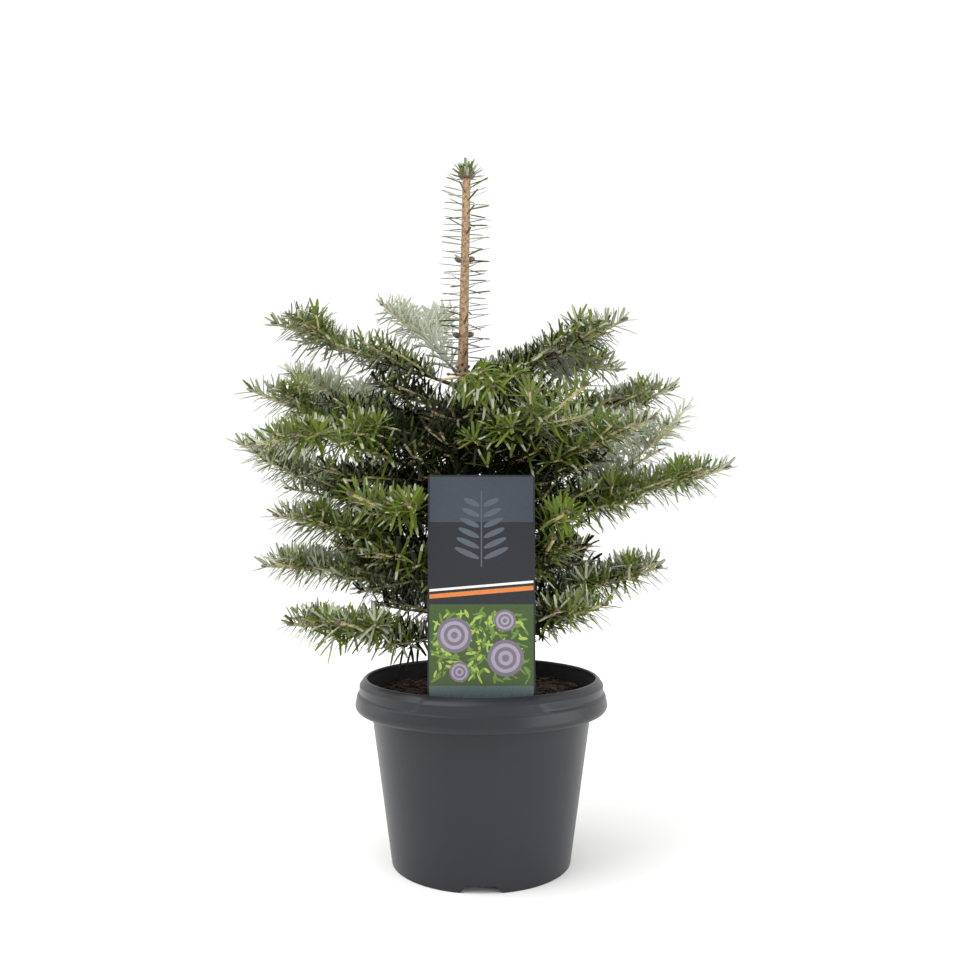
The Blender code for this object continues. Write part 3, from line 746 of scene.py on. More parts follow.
class Crown:
    """Where the boughs run, and what each mass keeps clear of."""

    def __init__(self):
        self.steps = {}
        self.lines = {}
        for whorl, boughs in BOUGHS.items():
            for place, spec in boughs.items():
                self.place_foot(whorl, place, spec)

    def place_foot(self, whorl, place, spec):
        """Neighbours on a whorl sit a step higher or lower on the trunk, where their feet would touch."""
        for step in FOOT_STEPS:
            if self.limb_clear(whorl, self.inner_half(whorl, spec, step)):
                break
        self.steps[whorl, place] = step
        self.lines[whorl, place] = bough_line(whorl, spec, step, 0.0, 1.0, LINE_STEPS)

    def inner_half(self, whorl, spec, step):
        """The inner half of a bough, from the trunk's face on."""
        face = trunk_radius(WHORLS[whorl]["height"]) / spec[1]
        return bough_line(whorl, spec, step, face, 0.5, LINE_STEPS)

    def limb_clear(self, whorl, limb):
        for (other, place), step in self.steps.items():
            line = self.inner_half(other, BOUGHS[other][place], step)
            needed = 1.25 * (WHORLS[whorl]["thick"] + WHORLS[other]["thick"]) + 2 * GAP
            if min(from_line(p, line) for p in limb) < needed:
                return False
        return True

    def room(self, point, own, half_width):
        """Whether a point, grown by a half width, lies in the space nearest to its own bough."""
        if over_pot(point, 0.003, 0.003):
            return False
        near_card = abs(point.y - CARD_PLACE) < half_width + 0.0015
        if near_card and level_with_card(point, 0.002, half_width + 0.001):
            return False
        height = min(max(point.z, SOIL_TOP), TRUNK_TOP)
        if (point - trunk_centre(height)).length < trunk_radius(height) + half_width + 0.0012:
            return False
        mine = from_line(point, self.lines[own])
        needed = mine + 2 * half_width + SPACE_MARGIN
        limb = WHORLS[own[0]]["thick"] + half_width + 0.002
        for other, line in self.lines.items():
            if other == own or (line[LINE_STEPS // 2] - point).length > mine + FAR_BOUGH:
                continue
            if from_line(point, line) < max(needed, limb):
                return False
        return True


def side_shoots(spec, rng):
    """Share of the way, swing, reach and lift of the side shoots: a pair at each fork."""
    shoots = []
    for share in spec[5]:
        for side in (-1, 1):
            swing = math.radians(FORK_ANGLE + rng.uniform(-1, 1) * FORK_ANGLE_SPREAD) * side
            reach = (1 - share) * SIDE_SHARE * (1 + rng.uniform(-1, 1) * SIDE_SHARE_SPREAD)
            lift = SIDE_LIFT * rng.uniform(0.2, 1.6)
            shoots.append((share, swing, reach, lift))
    return shoots


def shoot_line(stem, fork, swing, length, lift, steps=SHOOT_STEPS):
    """A side shoot's line: it leaves the stem at an angle and curves gently forwards and up."""
    place = fork * (len(stem) - 1)
    k = min(int(place), len(stem) - 2)
    points = [stem[k].lerp(stem[k + 1], place - k)]
    ahead = (stem[k + 1] - stem[k]).normalized()
    for step in range(steps):
        out = Matrix.Rotation(swing * (1 - 0.30 * step / steps), 3, "Z") @ ahead
        out.z += lift
        points.append(points[-1] + out.normalized() * length / steps)
    return points


def mass_skeleton(whorl, place, spec, crown, rng):
    """The stem of a mass and the side shoots that find room, each a line of points."""
    bare = WHORLS[whorl]["bare"]
    bough = bough_line(whorl, spec, crown.steps[whorl, place], bare, 1.0, LINE_STEPS)
    reach = length_of(crown.lines[whorl, place])
    shoots = [bough]
    for share, swing, part, lift in side_shoots(spec, rng):
        fork = (share - bare) / (1 - bare)
        for size in (1.0, 0.75, 0.5):
            line = shoot_line(bough, fork, swing, reach * part * size, lift)
            clear = all(crown.room(p, (whorl, place), CORE_RADIUS) for p in line[1:])
            if clear and length_of(line) > SHORTEST_SHOOT:
                shoots.append(line)
                break
    return shoots


def twig_clear(line, half_width=0.0015):
    """Whether a twig stays out of the pot, the card and the trunk, and doesn't run through the card."""
    for a, b in zip(line, line[1:]):
        if over_pot(b, 0.012, 0.010):
            return False
        if b.y < CARD_PLACE + 0.004 and level_with_card(b, 0.004, 0.003):
            return False
        if (b - trunk_centre(b.z)).length < trunk_radius(b.z) + half_width:
            return False
        crosses = (a.y - CARD_PLACE) * (b.y - CARD_PLACE) < 0
        if crosses and level_with_card(a, 0.0, 0.002):
            return False
    return True


def finer_shoots(shoots, sparse, rng):
    """Twigs that carry the rule one step further: pairs that fork off each shoot, most off its inner part."""
    fine = []
    for index, line in enumerate(shoots):
        length = length_of(line)
        for fork in TWIG_FORKS if index == 0 and not sparse else SPARSE_TWIG_FORKS:
            for side in (-1, 1):
                swing = math.radians(rng.uniform(34, 52)) * side
                size = length * rng.uniform(0.36, 0.46) * (1.1 - 0.6 * fork)
                size = min(max(size, SHORTEST_TWIG), LONGEST_TWIG)
                lift = rng.uniform(-0.18, 0.16) if index == 0 else rng.uniform(-0.08, 0.16)
                place = min(fork + rng.uniform(-0.04, 0.04), 0.95)
                twig = shoot_line(line, place, swing, size, lift, TWIG_STEPS)
                if twig_clear(twig):
                    fine.append(twig)
    return fine


def inner_shoots(rng):
    """The short shoots between the whorls, each with a pair of twigs or two."""
    shoots = []
    for height, angle, reach, rise in INNER_SHOOTS:
        out = polar(math.radians(angle))
        foot = trunk_centre(height)
        stem = []
        for k in range(INNER_STEPS + 1):
            t = k / INNER_STEPS
            sag = -INNER_SAG * 4 * t * (1 - t)
            stem.append(foot + out * (0.003 + reach * t) + Vector((0, 0, rise * t + sag)))
        if not twig_clear(stem[1:], 0.0):
            continue
        shoots.append((stem, 1))
        for fork in INNER_TWIG_FORKS:
            for side in (-1, 1):
                swing = math.radians(rng.uniform(36, 54)) * side
                size = reach * (1 - fork) * rng.uniform(0.6, 0.9) + 0.008
                twig = shoot_line(stem, fork, swing, size, rng.uniform(-0.2, 0.3), TWIG_STEPS)
                if twig_clear(twig):
                    shoots.append((twig, 2))
    return shoots


def resampled(line, spacing):
    """The same line with points at an even, finer spacing, softened at its bends."""
    total = length_of(line)
    count = max(3, round(total / spacing))
    lengths = [0.0]
    for a, b in zip(line, line[1:]):
        lengths.append(lengths[-1] + (b - a).length)
    out = []
    for k in range(count + 1):
        want = total * k / count
        i = max(j for j in range(len(lengths) - 1) if lengths[j] <= want + 1e-9)
        share = (want - lengths[i]) / (lengths[i + 1] - lengths[i])
        out.append(line[i].lerp(line[i + 1], min(share, 1.0)))
    for _ in range(2):
        inner = [(out[k - 1] + out[k] * 2 + out[k + 1]) / 4 for k in range(1, len(out) - 1)]
        out = [out[0], *inner, out[-1]]
    return out


# Needles

FRESH, MID, DEEP, OLD_SHADED, SILVER, PALE, WORN_AND_PAINTED_LIGHT = range(7)
NEEDLE_STATIONS = np.array([0.0, 0.22, 0.66, 0.94])
NEEDLE_WIDTHS = np.array([0.45, 0.88, 1.00, 0.70])
NEEDLE_DEPTHS = np.array([0.80, 1.00, 0.90, 0.55])
NEEDLE_THICKNESS = 0.00045
# The faces' materials in the order of their numbers: the setting that colours each, and its roughness
NEEDLE_FACES = {
    "needle_cuticle_fresh": ("fresh", 0.42),
    "needle_cuticle_mid": ("mid", 0.40),
    "needle_cuticle_deep": ("deep", 0.38),
    "needle_cuticle_old": ("old", 0.50),
    "needle_wax_silver": ("silver", 0.60),
    "needle_wax_pale": ("pale", 0.55),
    "needle_cuticle_worn": ("worn", 0.50),
}
# How far a needle leans from its shoot, in degrees, and how much less at the sides, below and at the tip
LEAN = 86
LEAN_SPREAD = 7
SIDE_LEAN_LOSS = 14
LOW_LEAN_LOSS = 28
TIP_LEAN_LOSS = 34
# Share of the needles that have fallen from the under side of a shoot
BARE_BELOW = 0.66
# How thickly the sparser shoots are set, as a share of the others
DENSITY = {"silvered": 0.75, "inner": 0.72}
# Over this range of distance from the pot's axis, needles in the old colour of painted shade give way to
# green ones.
# The dark ones are most frequent between the two ranges of height
SHADE_REACH = (0.045, 0.105)
SHADE_FOOT = (0.215, 0.265)
SHADE_TOP = (0.335, 0.355)
INNER_SHADE = 0.55
# Boughs whose needles show their waxy under side, bend down or are all green, and boughs lightened with the
# pale worn colour as painted sunlight
HABITS = {
    ("top", "back_left"): "silvered",
    ("second", "back_left"): "silvered",
    ("third", "back_right"): "silvered",
    ("top", "front"): "bent",
    ("third", "front"): "young",
    ("top", "right"): "sunned",
    ("fourth", "left"): "sunned",
    ("fourth", "right"): "sunned",
    ("low", "left"): "sunned",
    ("low", "right"): "sunned",
}
# Left of the trunk, under the top whorl, nearly all needles in a ball-shaped hollow take the old colour as
# painted shade
HOLLOW_CENTRE = Vector((-0.043, -0.050, 0.327))
HOLLOW_RADIUS = 0.032
HOLLOW_SHADE = 0.97
# The front bough of the top whorl has no needles left of and above this, so that the leader's foot shows
FOOT_IN_VIEW = (-0.003, 0.347)
# Needles on the leader, and in the tuft about its tip
LEADER_COUNT = 112
TUFT_COUNT = 52


class Needles:
    """Every needle of one piece, as rows of numbers, turned into a mesh at once."""

    def __init__(self, width):
        self.width = width
        self.rows = []
        self.slots = []

    def add(self, root, direction, green, length, droop, curl, slots, width=1.0):
        self.rows.append((*root, *direction, *green, length, droop, curl, width))
        self.slots.append(slots)

    def mesh_object(self, name, materials):
        rows = np.array(self.rows)
        count, rings = len(rows), len(NEEDLE_STATIONS)
        root, ahead, green = rows[:, None, 0:3], rows[:, None, 3:6], rows[:, None, 6:9]
        length, droop, curl = rows[:, None, 9:10], rows[:, None, 10:11], rows[:, None, 11:12]
        side = np.cross(ahead, -green)
        share = NEEDLE_STATIONS[None, :, None]
        down = np.array([0.0, 0.0, -1.0])
        spine = root + length * (ahead * share + (down * droop + green * curl) * share**2)
        half = rows[:, None, 12:13] * self.width / 2 * NEEDLE_WIDTHS[None, :, None]
        deep = NEEDLE_THICKNESS * NEEDLE_DEPTHS[None, :, None]
        corners = np.stack([spine + side * half, spine - side * half, spine - green * deep], 2)
        tip = root + length * (ahead + down * droop + green * curl)
        points = np.concatenate([corners.reshape(count, rings * 3, 3), tip], axis=1).reshape(-1, 3)
        # The kind of a face says which of the needle's three colours it takes: upper, under or upper tip
        faces, kinds = [], []
        for ring in range(rings):
            low = ring * 3
            for k in range(3):
                j = (k + 1) % 3
                outer = (low + 3,) if ring == rings - 1 else (low + 3 + j, low + 3 + k)
                faces.append((low + k, low + j, *outer))
                kinds.append(1 if k else 2 if ring > 1 else 0)
        faces.append((2, 1, 0))
        kinds.append(1)
        per = rings * 3 + 1
        all_faces = [tuple(n * per + i for i in face) for n in range(count) for face in faces]
        slots = np.array(self.slots)[:, np.array(kinds)].reshape(-1).astype(np.int32)
        return mesh_object(name, points.tolist(), all_faces, slots, materials)


def deal_greens(facing, rng):
    """The upper and under colours of one spray: fresher towards the front, more silver towards the back."""
    if facing > 0.55:
        return FRESH, MID
    roll = rng.random()
    upper = FRESH if roll < 0.16 + 0.55 * max(facing, 0) else MID if roll < 0.80 else DEEP
    under = SILVER if rng.random() < 0.10 - 0.9 * min(facing + 0.2, 0) else PALE
    return upper, under


def needle_frame(ahead, level, up, angle, lean, turn):
    """A needle's direction, and the way its green face looks: towards the shoot's tip, turned a little up."""
    out = math.cos(angle) * up + math.sin(angle) * level
    direction = math.cos(lean) * ahead + math.sin(lean) * out
    inward = math.sin(lean) * ahead - math.cos(lean) * out
    sky = Vector((0, 0, 1)) - direction * direction.z
    twist = (0.30 + 0.35 * abs(math.sin(angle))) * turn
    green = inward * (1 - twist) + sky * twist
    green -= direction * green.dot(direction)
    return direction.normalized(), green.normalized(), out


def needle_colours(centre, upper, under, habit, rng):
    """The colours of a needle's upper face, of its under face and of its upper face near the tip."""
    shade = 1 - smooth_step(math.hypot(centre.x, centre.y), *SHADE_REACH)
    shade *= 0.3 + 0.7 * smooth_step(centre.z, *SHADE_FOOT) * (1 - smooth_step(centre.z, *SHADE_TOP))
    if habit == "inner":
        shade = max(shade, INNER_SHADE)
    if (centre - HOLLOW_CENTRE).length < HOLLOW_RADIUS:
        shade = HOLLOW_SHADE
    if habit == "silvered":
        tone = rng.choice((PALE, MID, MID))
        return tone, SILVER, tone
    # Painted shade: the needle takes the dark old colour on all its faces
    if rng.random() < shade:
        return OLD_SHADED, OLD_SHADED, OLD_SHADED
    tone = upper if rng.random() < 0.8 else rng.choice((FRESH, MID, DEEP))
    back = under if rng.random() < 0.85 else rng.choice((SILVER, PALE, MID))
    worn = WORN_AND_PAINTED_LIGHT if rng.random() < (0.35 if upper == FRESH else 0.65) else tone
    if habit == "young":
        return upper, MID, upper
    # Painted sunlight: a share of these boughs' needles take the pale worn colour
    if habit == "sunned" and rng.random() < 0.35:
        return WORN_AND_PAINTED_LIGHT, back, WORN_AND_PAINTED_LIGHT
    return tone, back, worn


def in_the_way(root, tip, habit):
    """Whether a needle would hide the leader's foot, cut the pot's rim or cross the card."""
    if habit == "bent" and tip.x < FOOT_IN_VIEW[0] and tip.z > FOOT_IN_VIEW[1]:
        return True
    if over_pot(tip, 0.001, 0.0):
        return True
    return level_with_card(tip, 0.001, 0.001) and min(tip.y, root.y) < CARD_PLACE


def needle_shoot(line, radius, settings, needles, rng, strength, habit):
    """Sets needles on a shoot: thick, upright and leaning forwards above, longer and hanging below."""
    count = max(6, int(length_of(line) / settings.spacing * DENSITY.get(habit, 1.0)))
    start = rng.uniform(0, 2 * math.pi)
    heading = (line[-1] - line[0]).normalized()
    upper, under = deal_greens(-heading.y, rng)
    turn = 0.25 if habit == "silvered" else 1.0
    for k in range(count):
        share = min((k + rng.random()) / count, 0.999)
        angle = (start + k * GOLDEN_ANGLE + math.pi) % (2 * math.pi) - math.pi
        angle -= 0.30 * math.sin(angle)
        below = smooth_step(abs(angle), 1.7, 2.7)
        if rng.random() < BARE_BELOW * below:
            continue
        place = share * (len(line) - 1)
        i = min(int(place), len(line) - 2)
        centre = line[i].lerp(line[i + 1], place - i)
        ahead = (line[i + 1] - line[i]).normalized()
        level, up = cross_axes(ahead)
        near_tip = smooth_step(share, 0.86, 1.0)
        side = abs(math.sin(angle)) * (1 - below)
        lean = LEAN - SIDE_LEAN_LOSS * side - LOW_LEAN_LOSS * below - TIP_LEAN_LOSS * near_tip
        lean = math.radians(lean + rng.uniform(-LEAN_SPREAD, LEAN_SPREAD))
        direction, green, out = needle_frame(ahead, level, up, angle, lean, turn)
        size = settings.length * strength * (1 + 0.14 * below - 0.28 * near_tip) * rng.uniform(0.82, 1.08)
        droop = 0.02 + 0.10 * below + 0.05 * side * rng.random() + (0.40 if habit == "bent" else 0.0)
        curl = rng.uniform(-0.06, 0.10) * (1 - below)
        colours = needle_colours(centre, upper, under, habit, rng)
        root = centre + out * radius * 0.5
        if not in_the_way(root, root + direction * size, habit):
            needles.add(root, direction, green, size, droop, curl, colours, rng.uniform(0.85, 1.12))


# Operators


class FIR_OT_pot(bpy.types.Operator):
    """Model the nursery pot with its rolled collar, flush front panel and notched foot"""

    bl_idname = "fir.pot"
    bl_label = "Pot"

    def execute(self, context):
        build = Build()
        build.add(*turned(self.profile(), POT_SIDES, self.radius_at))
        settings = context.scene.fir_pot
        materials = [moulded_polypropylene(settings), peat_stained_polypropylene(settings)]
        pot = build.mesh_object("nursery_pot", materials)
        turn_outwards(pot)
        for k in range(NOTCH_COUNT):
            self.cut_notch(pot, FRONT + k * 360.0 / NOTCH_COUNT)
        # Inner faces of the wall take the darker inner material: painted shade under a film of peat
        for face in pot.data.polygons:
            inwards = face.normal.x * face.center.x + face.normal.y * face.center.y < -0.01
            face.material_index = 1 if inwards and FLOOR_UNDERSIDE < face.center.z < POT_HEIGHT - 0.002 else 0
        pot.data.shade_smooth()
        pot.data.set_sharp_from_angle(angle=math.radians(40))
        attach(pot, "root")
        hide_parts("pot")
        return {"FINISHED"}

    def wall(self, height):
        return POT_FOOT_RADIUS + (WALL_TOP_RADIUS - POT_FOOT_RADIUS) * height / POT_HEIGHT

    def profile(self):
        """Half of the pot's section: up the inner wall, over the lip, down the collar and the outer wall."""
        soft, sharp = True, False
        floor_top = FLOOR_UNDERSIDE + FLOOR_THICKNESS
        lip_inner = LIP_RADIUS - LIP_WIDTH
        throat = POT_HEIGHT - THROAT_DEPTH
        band = [(BAND_RADIUS, BAND_TOP + (BAND_FOOT - BAND_TOP) * k / 10, sharp) for k in range(1, 10)]
        corners = [
            (0, floor_top, sharp),
            (self.wall(floor_top) - POT_WALL, floor_top, sharp),
            (self.wall(throat) - POT_WALL, throat, sharp),
            (lip_inner, POT_HEIGHT - LIP_DEPTH, soft),
            (lip_inner, POT_HEIGHT, soft),
            (LIP_RADIUS, POT_HEIGHT, soft),
            (BAND_RADIUS - 0.0018, BAND_TOP + 0.0024, soft),
            (BAND_RADIUS, BAND_TOP, soft),
            *band,
            (BAND_RADIUS, BAND_FOOT, soft),
            (BAND_RADIUS + 0.0006, BAND_FOOT - 0.0010, soft),
            (COLLAR_RADIUS, COLLAR_WIDEST_HEIGHT, soft),
            (COLLAR_RADIUS - 0.0004, COLLAR_WIDEST_HEIGHT - 0.0020, soft),
            (COLLAR_FOOT_RADIUS, COLLAR_FOOT_HEIGHT, soft),
            (COLLAR_FOOT_RADIUS - COLLAR_SKIRT, COLLAR_FOOT_HEIGHT, soft),
            (BAND_RADIUS - BAND_RECESS - COLLAR_SKIRT, BAND_FOOT - 0.0005, sharp),
            (self.wall(BAND_TOP - 0.002), BAND_TOP - 0.002, sharp),
            (self.wall(0.0006), 0.0006, sharp),
            (self.wall(0.0), 0.0, soft),
            (self.wall(0.0) - POT_WALL, 0.0, sharp),
            (self.wall(FLOOR_UNDERSIDE) - POT_WALL, FLOOR_UNDERSIDE, sharp),
            (HUB_RADIUS, FLOOR_UNDERSIDE, sharp),
            (HUB_RADIUS, 0.0, sharp),
            (0, 0.0, sharp),
        ]
        return fillet(corners, MOULD_ROUNDING)

    def radius_at(self, radius, height, angle):
        """The upper band is pressed in, with a soft edge, except at the flush panel in front."""
        outside = radius > LIP_RADIUS + 0.0006 and height > BAND_FOOT - 0.0008
        if not outside:
            return radius
        away = abs((math.degrees(angle) - FRONT + 180) % 360 - 180)
        share = (POT_HEIGHT - height) / (POT_HEIGHT - BAND_FOOT)
        edge = PANEL_TOP_HALF_ANGLE + (PANEL_FOOT_HALF_ANGLE - PANEL_TOP_HALF_ANGLE) * share
        inside = max(PANEL_CORNER - max(height - BAND_FOOT, 0.0), 0.0)
        edge += math.degrees((PANEL_CORNER - math.sqrt(PANEL_CORNER**2 - inside**2)) / BAND_RADIUS)
        into = smooth_step(away, edge, edge + PANEL_EDGE)
        bead = math.exp(-(((away - edge) / PANEL_BEAD_ANGLE) ** 2)) * PANEL_BEAD_HEIGHT
        fade = smooth_step(height, *RECESS_FOOT) * (1 - smooth_step(height, *RECESS_TOP))
        return radius - BAND_RECESS * into * fade + bead * fade

    def cut_notch(self, pot, angle):
        near, far = POT_FOOT_RADIUS - 0.012, POT_FOOT_RADIUS + 0.012
        outline = [
            (-NOTCH_FOOT_WIDTH / 2, -0.002),
            (NOTCH_FOOT_WIDTH / 2, -0.002),
            (NOTCH_TOP_WIDTH / 2, NOTCH_HEIGHT),
            (-NOTCH_TOP_WIDTH / 2, NOTCH_HEIGHT),
        ]
        turn = Matrix.Rotation(math.radians(angle), 3, "Z")
        build = Build()
        build.add([turn @ Vector((r, y, z)) for r in (near, far) for y, z in outline], prism_faces(4))
        cutter = build.mesh_object("notch_cutter", list(pot.data.materials))
        turn_outwards(cutter)
        cut = pot.modifiers.new("notch", "BOOLEAN")
        cut.operation = "DIFFERENCE"
        cut.object = cutter
        shape = bpy.data.meshes.new_from_object(pot.evaluated_get(bpy.context.evaluated_depsgraph_get()))
        pot.modifiers.remove(cut)
        pot.data = shape
        bpy.data.objects.remove(cutter)


class FIR_OT_soil(bpy.types.Operator):
    """Fill the pot with lumpy peat and scatter crumbs of bark on it"""

    bl_idname = "fir.soil"
    bl_label = "Soil"

    def execute(self, context):
        settings = context.scene.fir_pot
        rng = random.Random(CRUMB_SEED)
        radius = SOIL_HIGH[0]
        foot = SOIL_TOP - SOIL_DEPTH
        profile = [(radius * ring / SOIL_RINGS, SOIL_TOP) for ring in range(SOIL_RINGS + 1)]
        points, faces = turned([*profile, (radius, foot), (0, foot)], SOIL_SIDES)
        for point in points[: 1 + SOIL_RINGS * SOIL_SIDES]:
            # The soil has sunk a little along the wall
            sunk = SUNK_EDGE * (math.hypot(point.x, point.y) / radius) ** 6
            point.z = self.level(point.x, point.y) - sunk
        build = Build()
        build.add(points, faces)
        soil = build.mesh_object("potting_soil", [peat_and_bark(settings)], 60)
        turn_outwards(soil)
        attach(soil, "root")
        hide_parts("soil")
        crumbs = Build()
        for _ in range(settings.lumps):
            self.crumb(crumbs, rng, radius)
        materials = [composted_bark(name, linear(colour)) for name, colour in CRUMB_COLOURS.items()]
        scatter = crumbs.mesh_object("soil_crumbs", materials, 50)
        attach(scatter, "root")
        return {"FINISHED"}

    def level(self, x, y):
        """Height of the soil, with hollows a few millimetres deep."""
        place = Vector((x, y, 0.0))
        relief = sum(noise.noise(place * fineness) * height for fineness, height in SOIL_WAVES)
        return SOIL_TOP - 0.0006 + relief

    def crumb(self, crumbs, rng, radius):
        """One crumb: a bent, uneven lump that lies half sunk."""
        reach = radius * math.sqrt(rng.random()) * 0.97
        spot = polar(rng.uniform(0, 2 * math.pi), reach)
        by_stake = abs(spot.y - CARD_PLACE) < 0.003 and abs(spot.x) < STAKE_WIDTH / 2 + 0.004
        if reach < CRUMB_CLEARANCE or by_stake:
            return
        size = rng.uniform(*CRUMB_SIZES) * (LARGE_CRUMB_FACTOR if rng.random() < LARGE_CRUMB_SHARE else 1.0)
        turn = Matrix.Rotation(rng.uniform(0, 6.28), 3, "Z") @ Matrix.Rotation(rng.uniform(-0.6, 0.6), 3, "X")
        stretch = Vector((rng.uniform(0.8, 1.9), rng.uniform(0.6, 1.0), rng.uniform(0.35, 0.7)))
        centre = spot + Vector((0, 0, self.level(spot.x, spot.y) + size * 0.10))
        line = [Vector((t, 0, 0)) for t in (-1, -0.55, 0.1, 0.65, 1)]
        points, faces = tube(line, (0.25, 0.8, 1.0, 0.75, 0.2), 6)
        placed = []
        for point in points:
            rough = 1 + 0.28 * noise.noise(point * 1.7 + spot * 900)
            placed.append(centre + turn @ (point * stretch * size * rough))
        crumbs.add(placed, faces, rng.choice((0, 0, 1, 1, 2)))


class FIR_OT_card(bpy.types.Operator):
    """Cut the plant card with its stake, and print plain shapes on its face"""

    bl_idname = "fir.card"
    bl_label = "Plant card"

    def execute(self, context):
        settings = context.scene.fir_card
        ground = printed_ink("card_ground_ink", tuple(settings.ground))
        core = printed_ink("card_core", linear("#8d8f90"))
        card = self.blank([ground, core])
        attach(card, "root")
        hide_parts("plant_card")
        colours = {
            "slate": tuple(settings.slate),
            "slate_light": linear("#4d565f"),
            "stripe": tuple(settings.stripe),
            "white": linear("#dcdbd4"),
            "moss": linear("#3c4f2a"),
            "leaf": linear("#5f7b35"),
            "lime": linear("#93a84a"),
            "plum": linear("#6a6270"),
            "plum_light": linear("#938c97"),
            "foot": tuple(settings.foot),
        }
        self.slots = {name: k for k, name in enumerate(colours)}
        self.print_build = Build()
        self.print_areas()
        inks = [printed_ink(f"card_ink_{name}", colour) for name, colour in colours.items()]
        face = self.print_build.mesh_object("card_print", inks)
        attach(face, "root")
        return {"FINISHED"}

    def blank(self, materials):
        """The card itself, with rounded upper corners and a tapering stake."""
        half, round_off = CARD_WIDTH / 2, 0.0025
        right = []
        for k in range(5):
            angle = math.pi / 8 * k
            x = half - round_off + round_off * math.sin(angle)
            right.append((x, CARD_TOP - round_off + round_off * math.cos(angle)))
        right += [(half, CARD_FOOT), (STAKE_WIDTH / 2, CARD_FOOT), (STAKE_WIDTH / 2, STAKE_FOOT + 0.012)]
        loop = [*right, (0.0, STAKE_FOOT), *((-x, z) for x, z in reversed(right))]
        count = len(loop)
        front = CARD_PLACE - CARD_THICKNESS / 2
        points = [Vector((x, front + k * CARD_THICKNESS, z)) for k in range(2) for x, z in loop]
        build = Build()
        build.add(points, prism_faces(count))
        # The sides show the card's core
        build.slots[2:] = [1] * count
        card = build.mesh_object("plant_card_blank", materials)
        turn_outwards(card)
        return card

    def shape(self, outline, ink, layer):
        """One flat area of ink, as a thin plate on the card's face."""
        front = CARD_PLACE - CARD_THICKNESS / 2 - 0.00002
        back, face = front + 0.00001, front - 0.00002 * layer
        points = [Vector((x, y, z)) for y in (face, back) for x, z in outline]
        self.print_build.add(points, prism_faces(len(outline)), self.slots[ink])

    def field(self, low, high, ink, slant=0.0):
        """An area as wide as the print, whose edges rise by twice the slant from left to right."""
        left, right = -PRINT_HALF_WIDTH, PRINT_HALF_WIDTH
        outline = [(left, low - slant), (right, low + slant), (right, high + slant), (left, high - slant)]
        self.shape(outline, ink, 1)

    def disc(self, x, z, across, up, ink, layer, tilt=0.0, sides=20):
        turn = Matrix.Rotation(tilt, 2)
        angles = [2 * math.pi * k / sides for k in range(sides)]
        oval = [turn @ Vector((across * math.cos(angle), up * math.sin(angle))) for angle in angles]
        self.shape([(x + p.x, z + p.y) for p in oval], ink, layer)

    def print_areas(self):
        """Plain areas: a slate field with a sprig of ovals, two stripes, a field of leaves, a foot band."""
        height = PRINT_TOP - PRINT_FOOT
        upper = PRINT_TOP - height * 0.44
        lower = PRINT_FOOT + height * 0.44
        band = PRINT_FOOT + height * 0.085
        self.field(PRINT_TOP - height * 0.20, PRINT_TOP, "slate")
        self.sprig(upper + 0.007)
        for share, ink, thick in ((0.62, "white", 0.0016), (0.36, "stripe", 0.0030)):
            stripe = lower + (upper - lower) * share
            self.field(stripe, stripe + thick, ink, 0.0030)
        self.field(band, lower, "moss")
        self.leaves(band, lower)
        self.field(PRINT_FOOT, band, "foot")
        for k in range(9):
            x = 0.008 - PRINT_HALF_WIDTH + k * (2 * PRINT_HALF_WIDTH - 0.016) / 8
            self.disc(x, (PRINT_FOOT + band) / 2, 0.0009, 0.0009, "slate_light", 2, sides=14)

    def sprig(self, foot):
        tip = PRINT_TOP - 0.010
        self.shape([(-0.0005, foot), (0.0005, foot), (0.0004, tip), (-0.0004, tip)], "slate_light", 2)
        for k in range(6):
            reach = 0.0052 + 0.0040 * (1 - k / 6)
            z = foot + 0.006 + k * 0.0072 + reach * 0.35
            for side in (-1, 1):
                self.disc(side * (reach + 0.0008), z, reach, 0.0019, "slate_light", 2, side * 0.42)

    def leaves(self, low, high):
        """Slim ovals at every tilt, with ringed discs among them."""
        rng = random.Random(PRINT_SEED)
        edge = PRINT_HALF_WIDTH - 0.004
        for k in range(LEAF_COUNT):
            x = rng.uniform(-edge, edge)
            z = rng.uniform(low + 0.004, high - 0.004)
            ink = rng.choice(("leaf", "leaf", "lime", "moss"))
            across, up = rng.uniform(0.0024, 0.0044), rng.uniform(0.0006, 0.0012)
            self.disc(x, z, across, up, ink, 2 + 3 * k / LEAF_COUNT, rng.uniform(-1.5, 1.5), 10)
        for x, share, size in RINGED_DISCS:
            for ring in range(5):
                reach = size * (1 - ring / 5)
                ink = ("plum", "plum_light")[ring % 2]
                self.disc(x, low + (high - low) * share, reach, reach, ink, 6 + ring, sides=36)


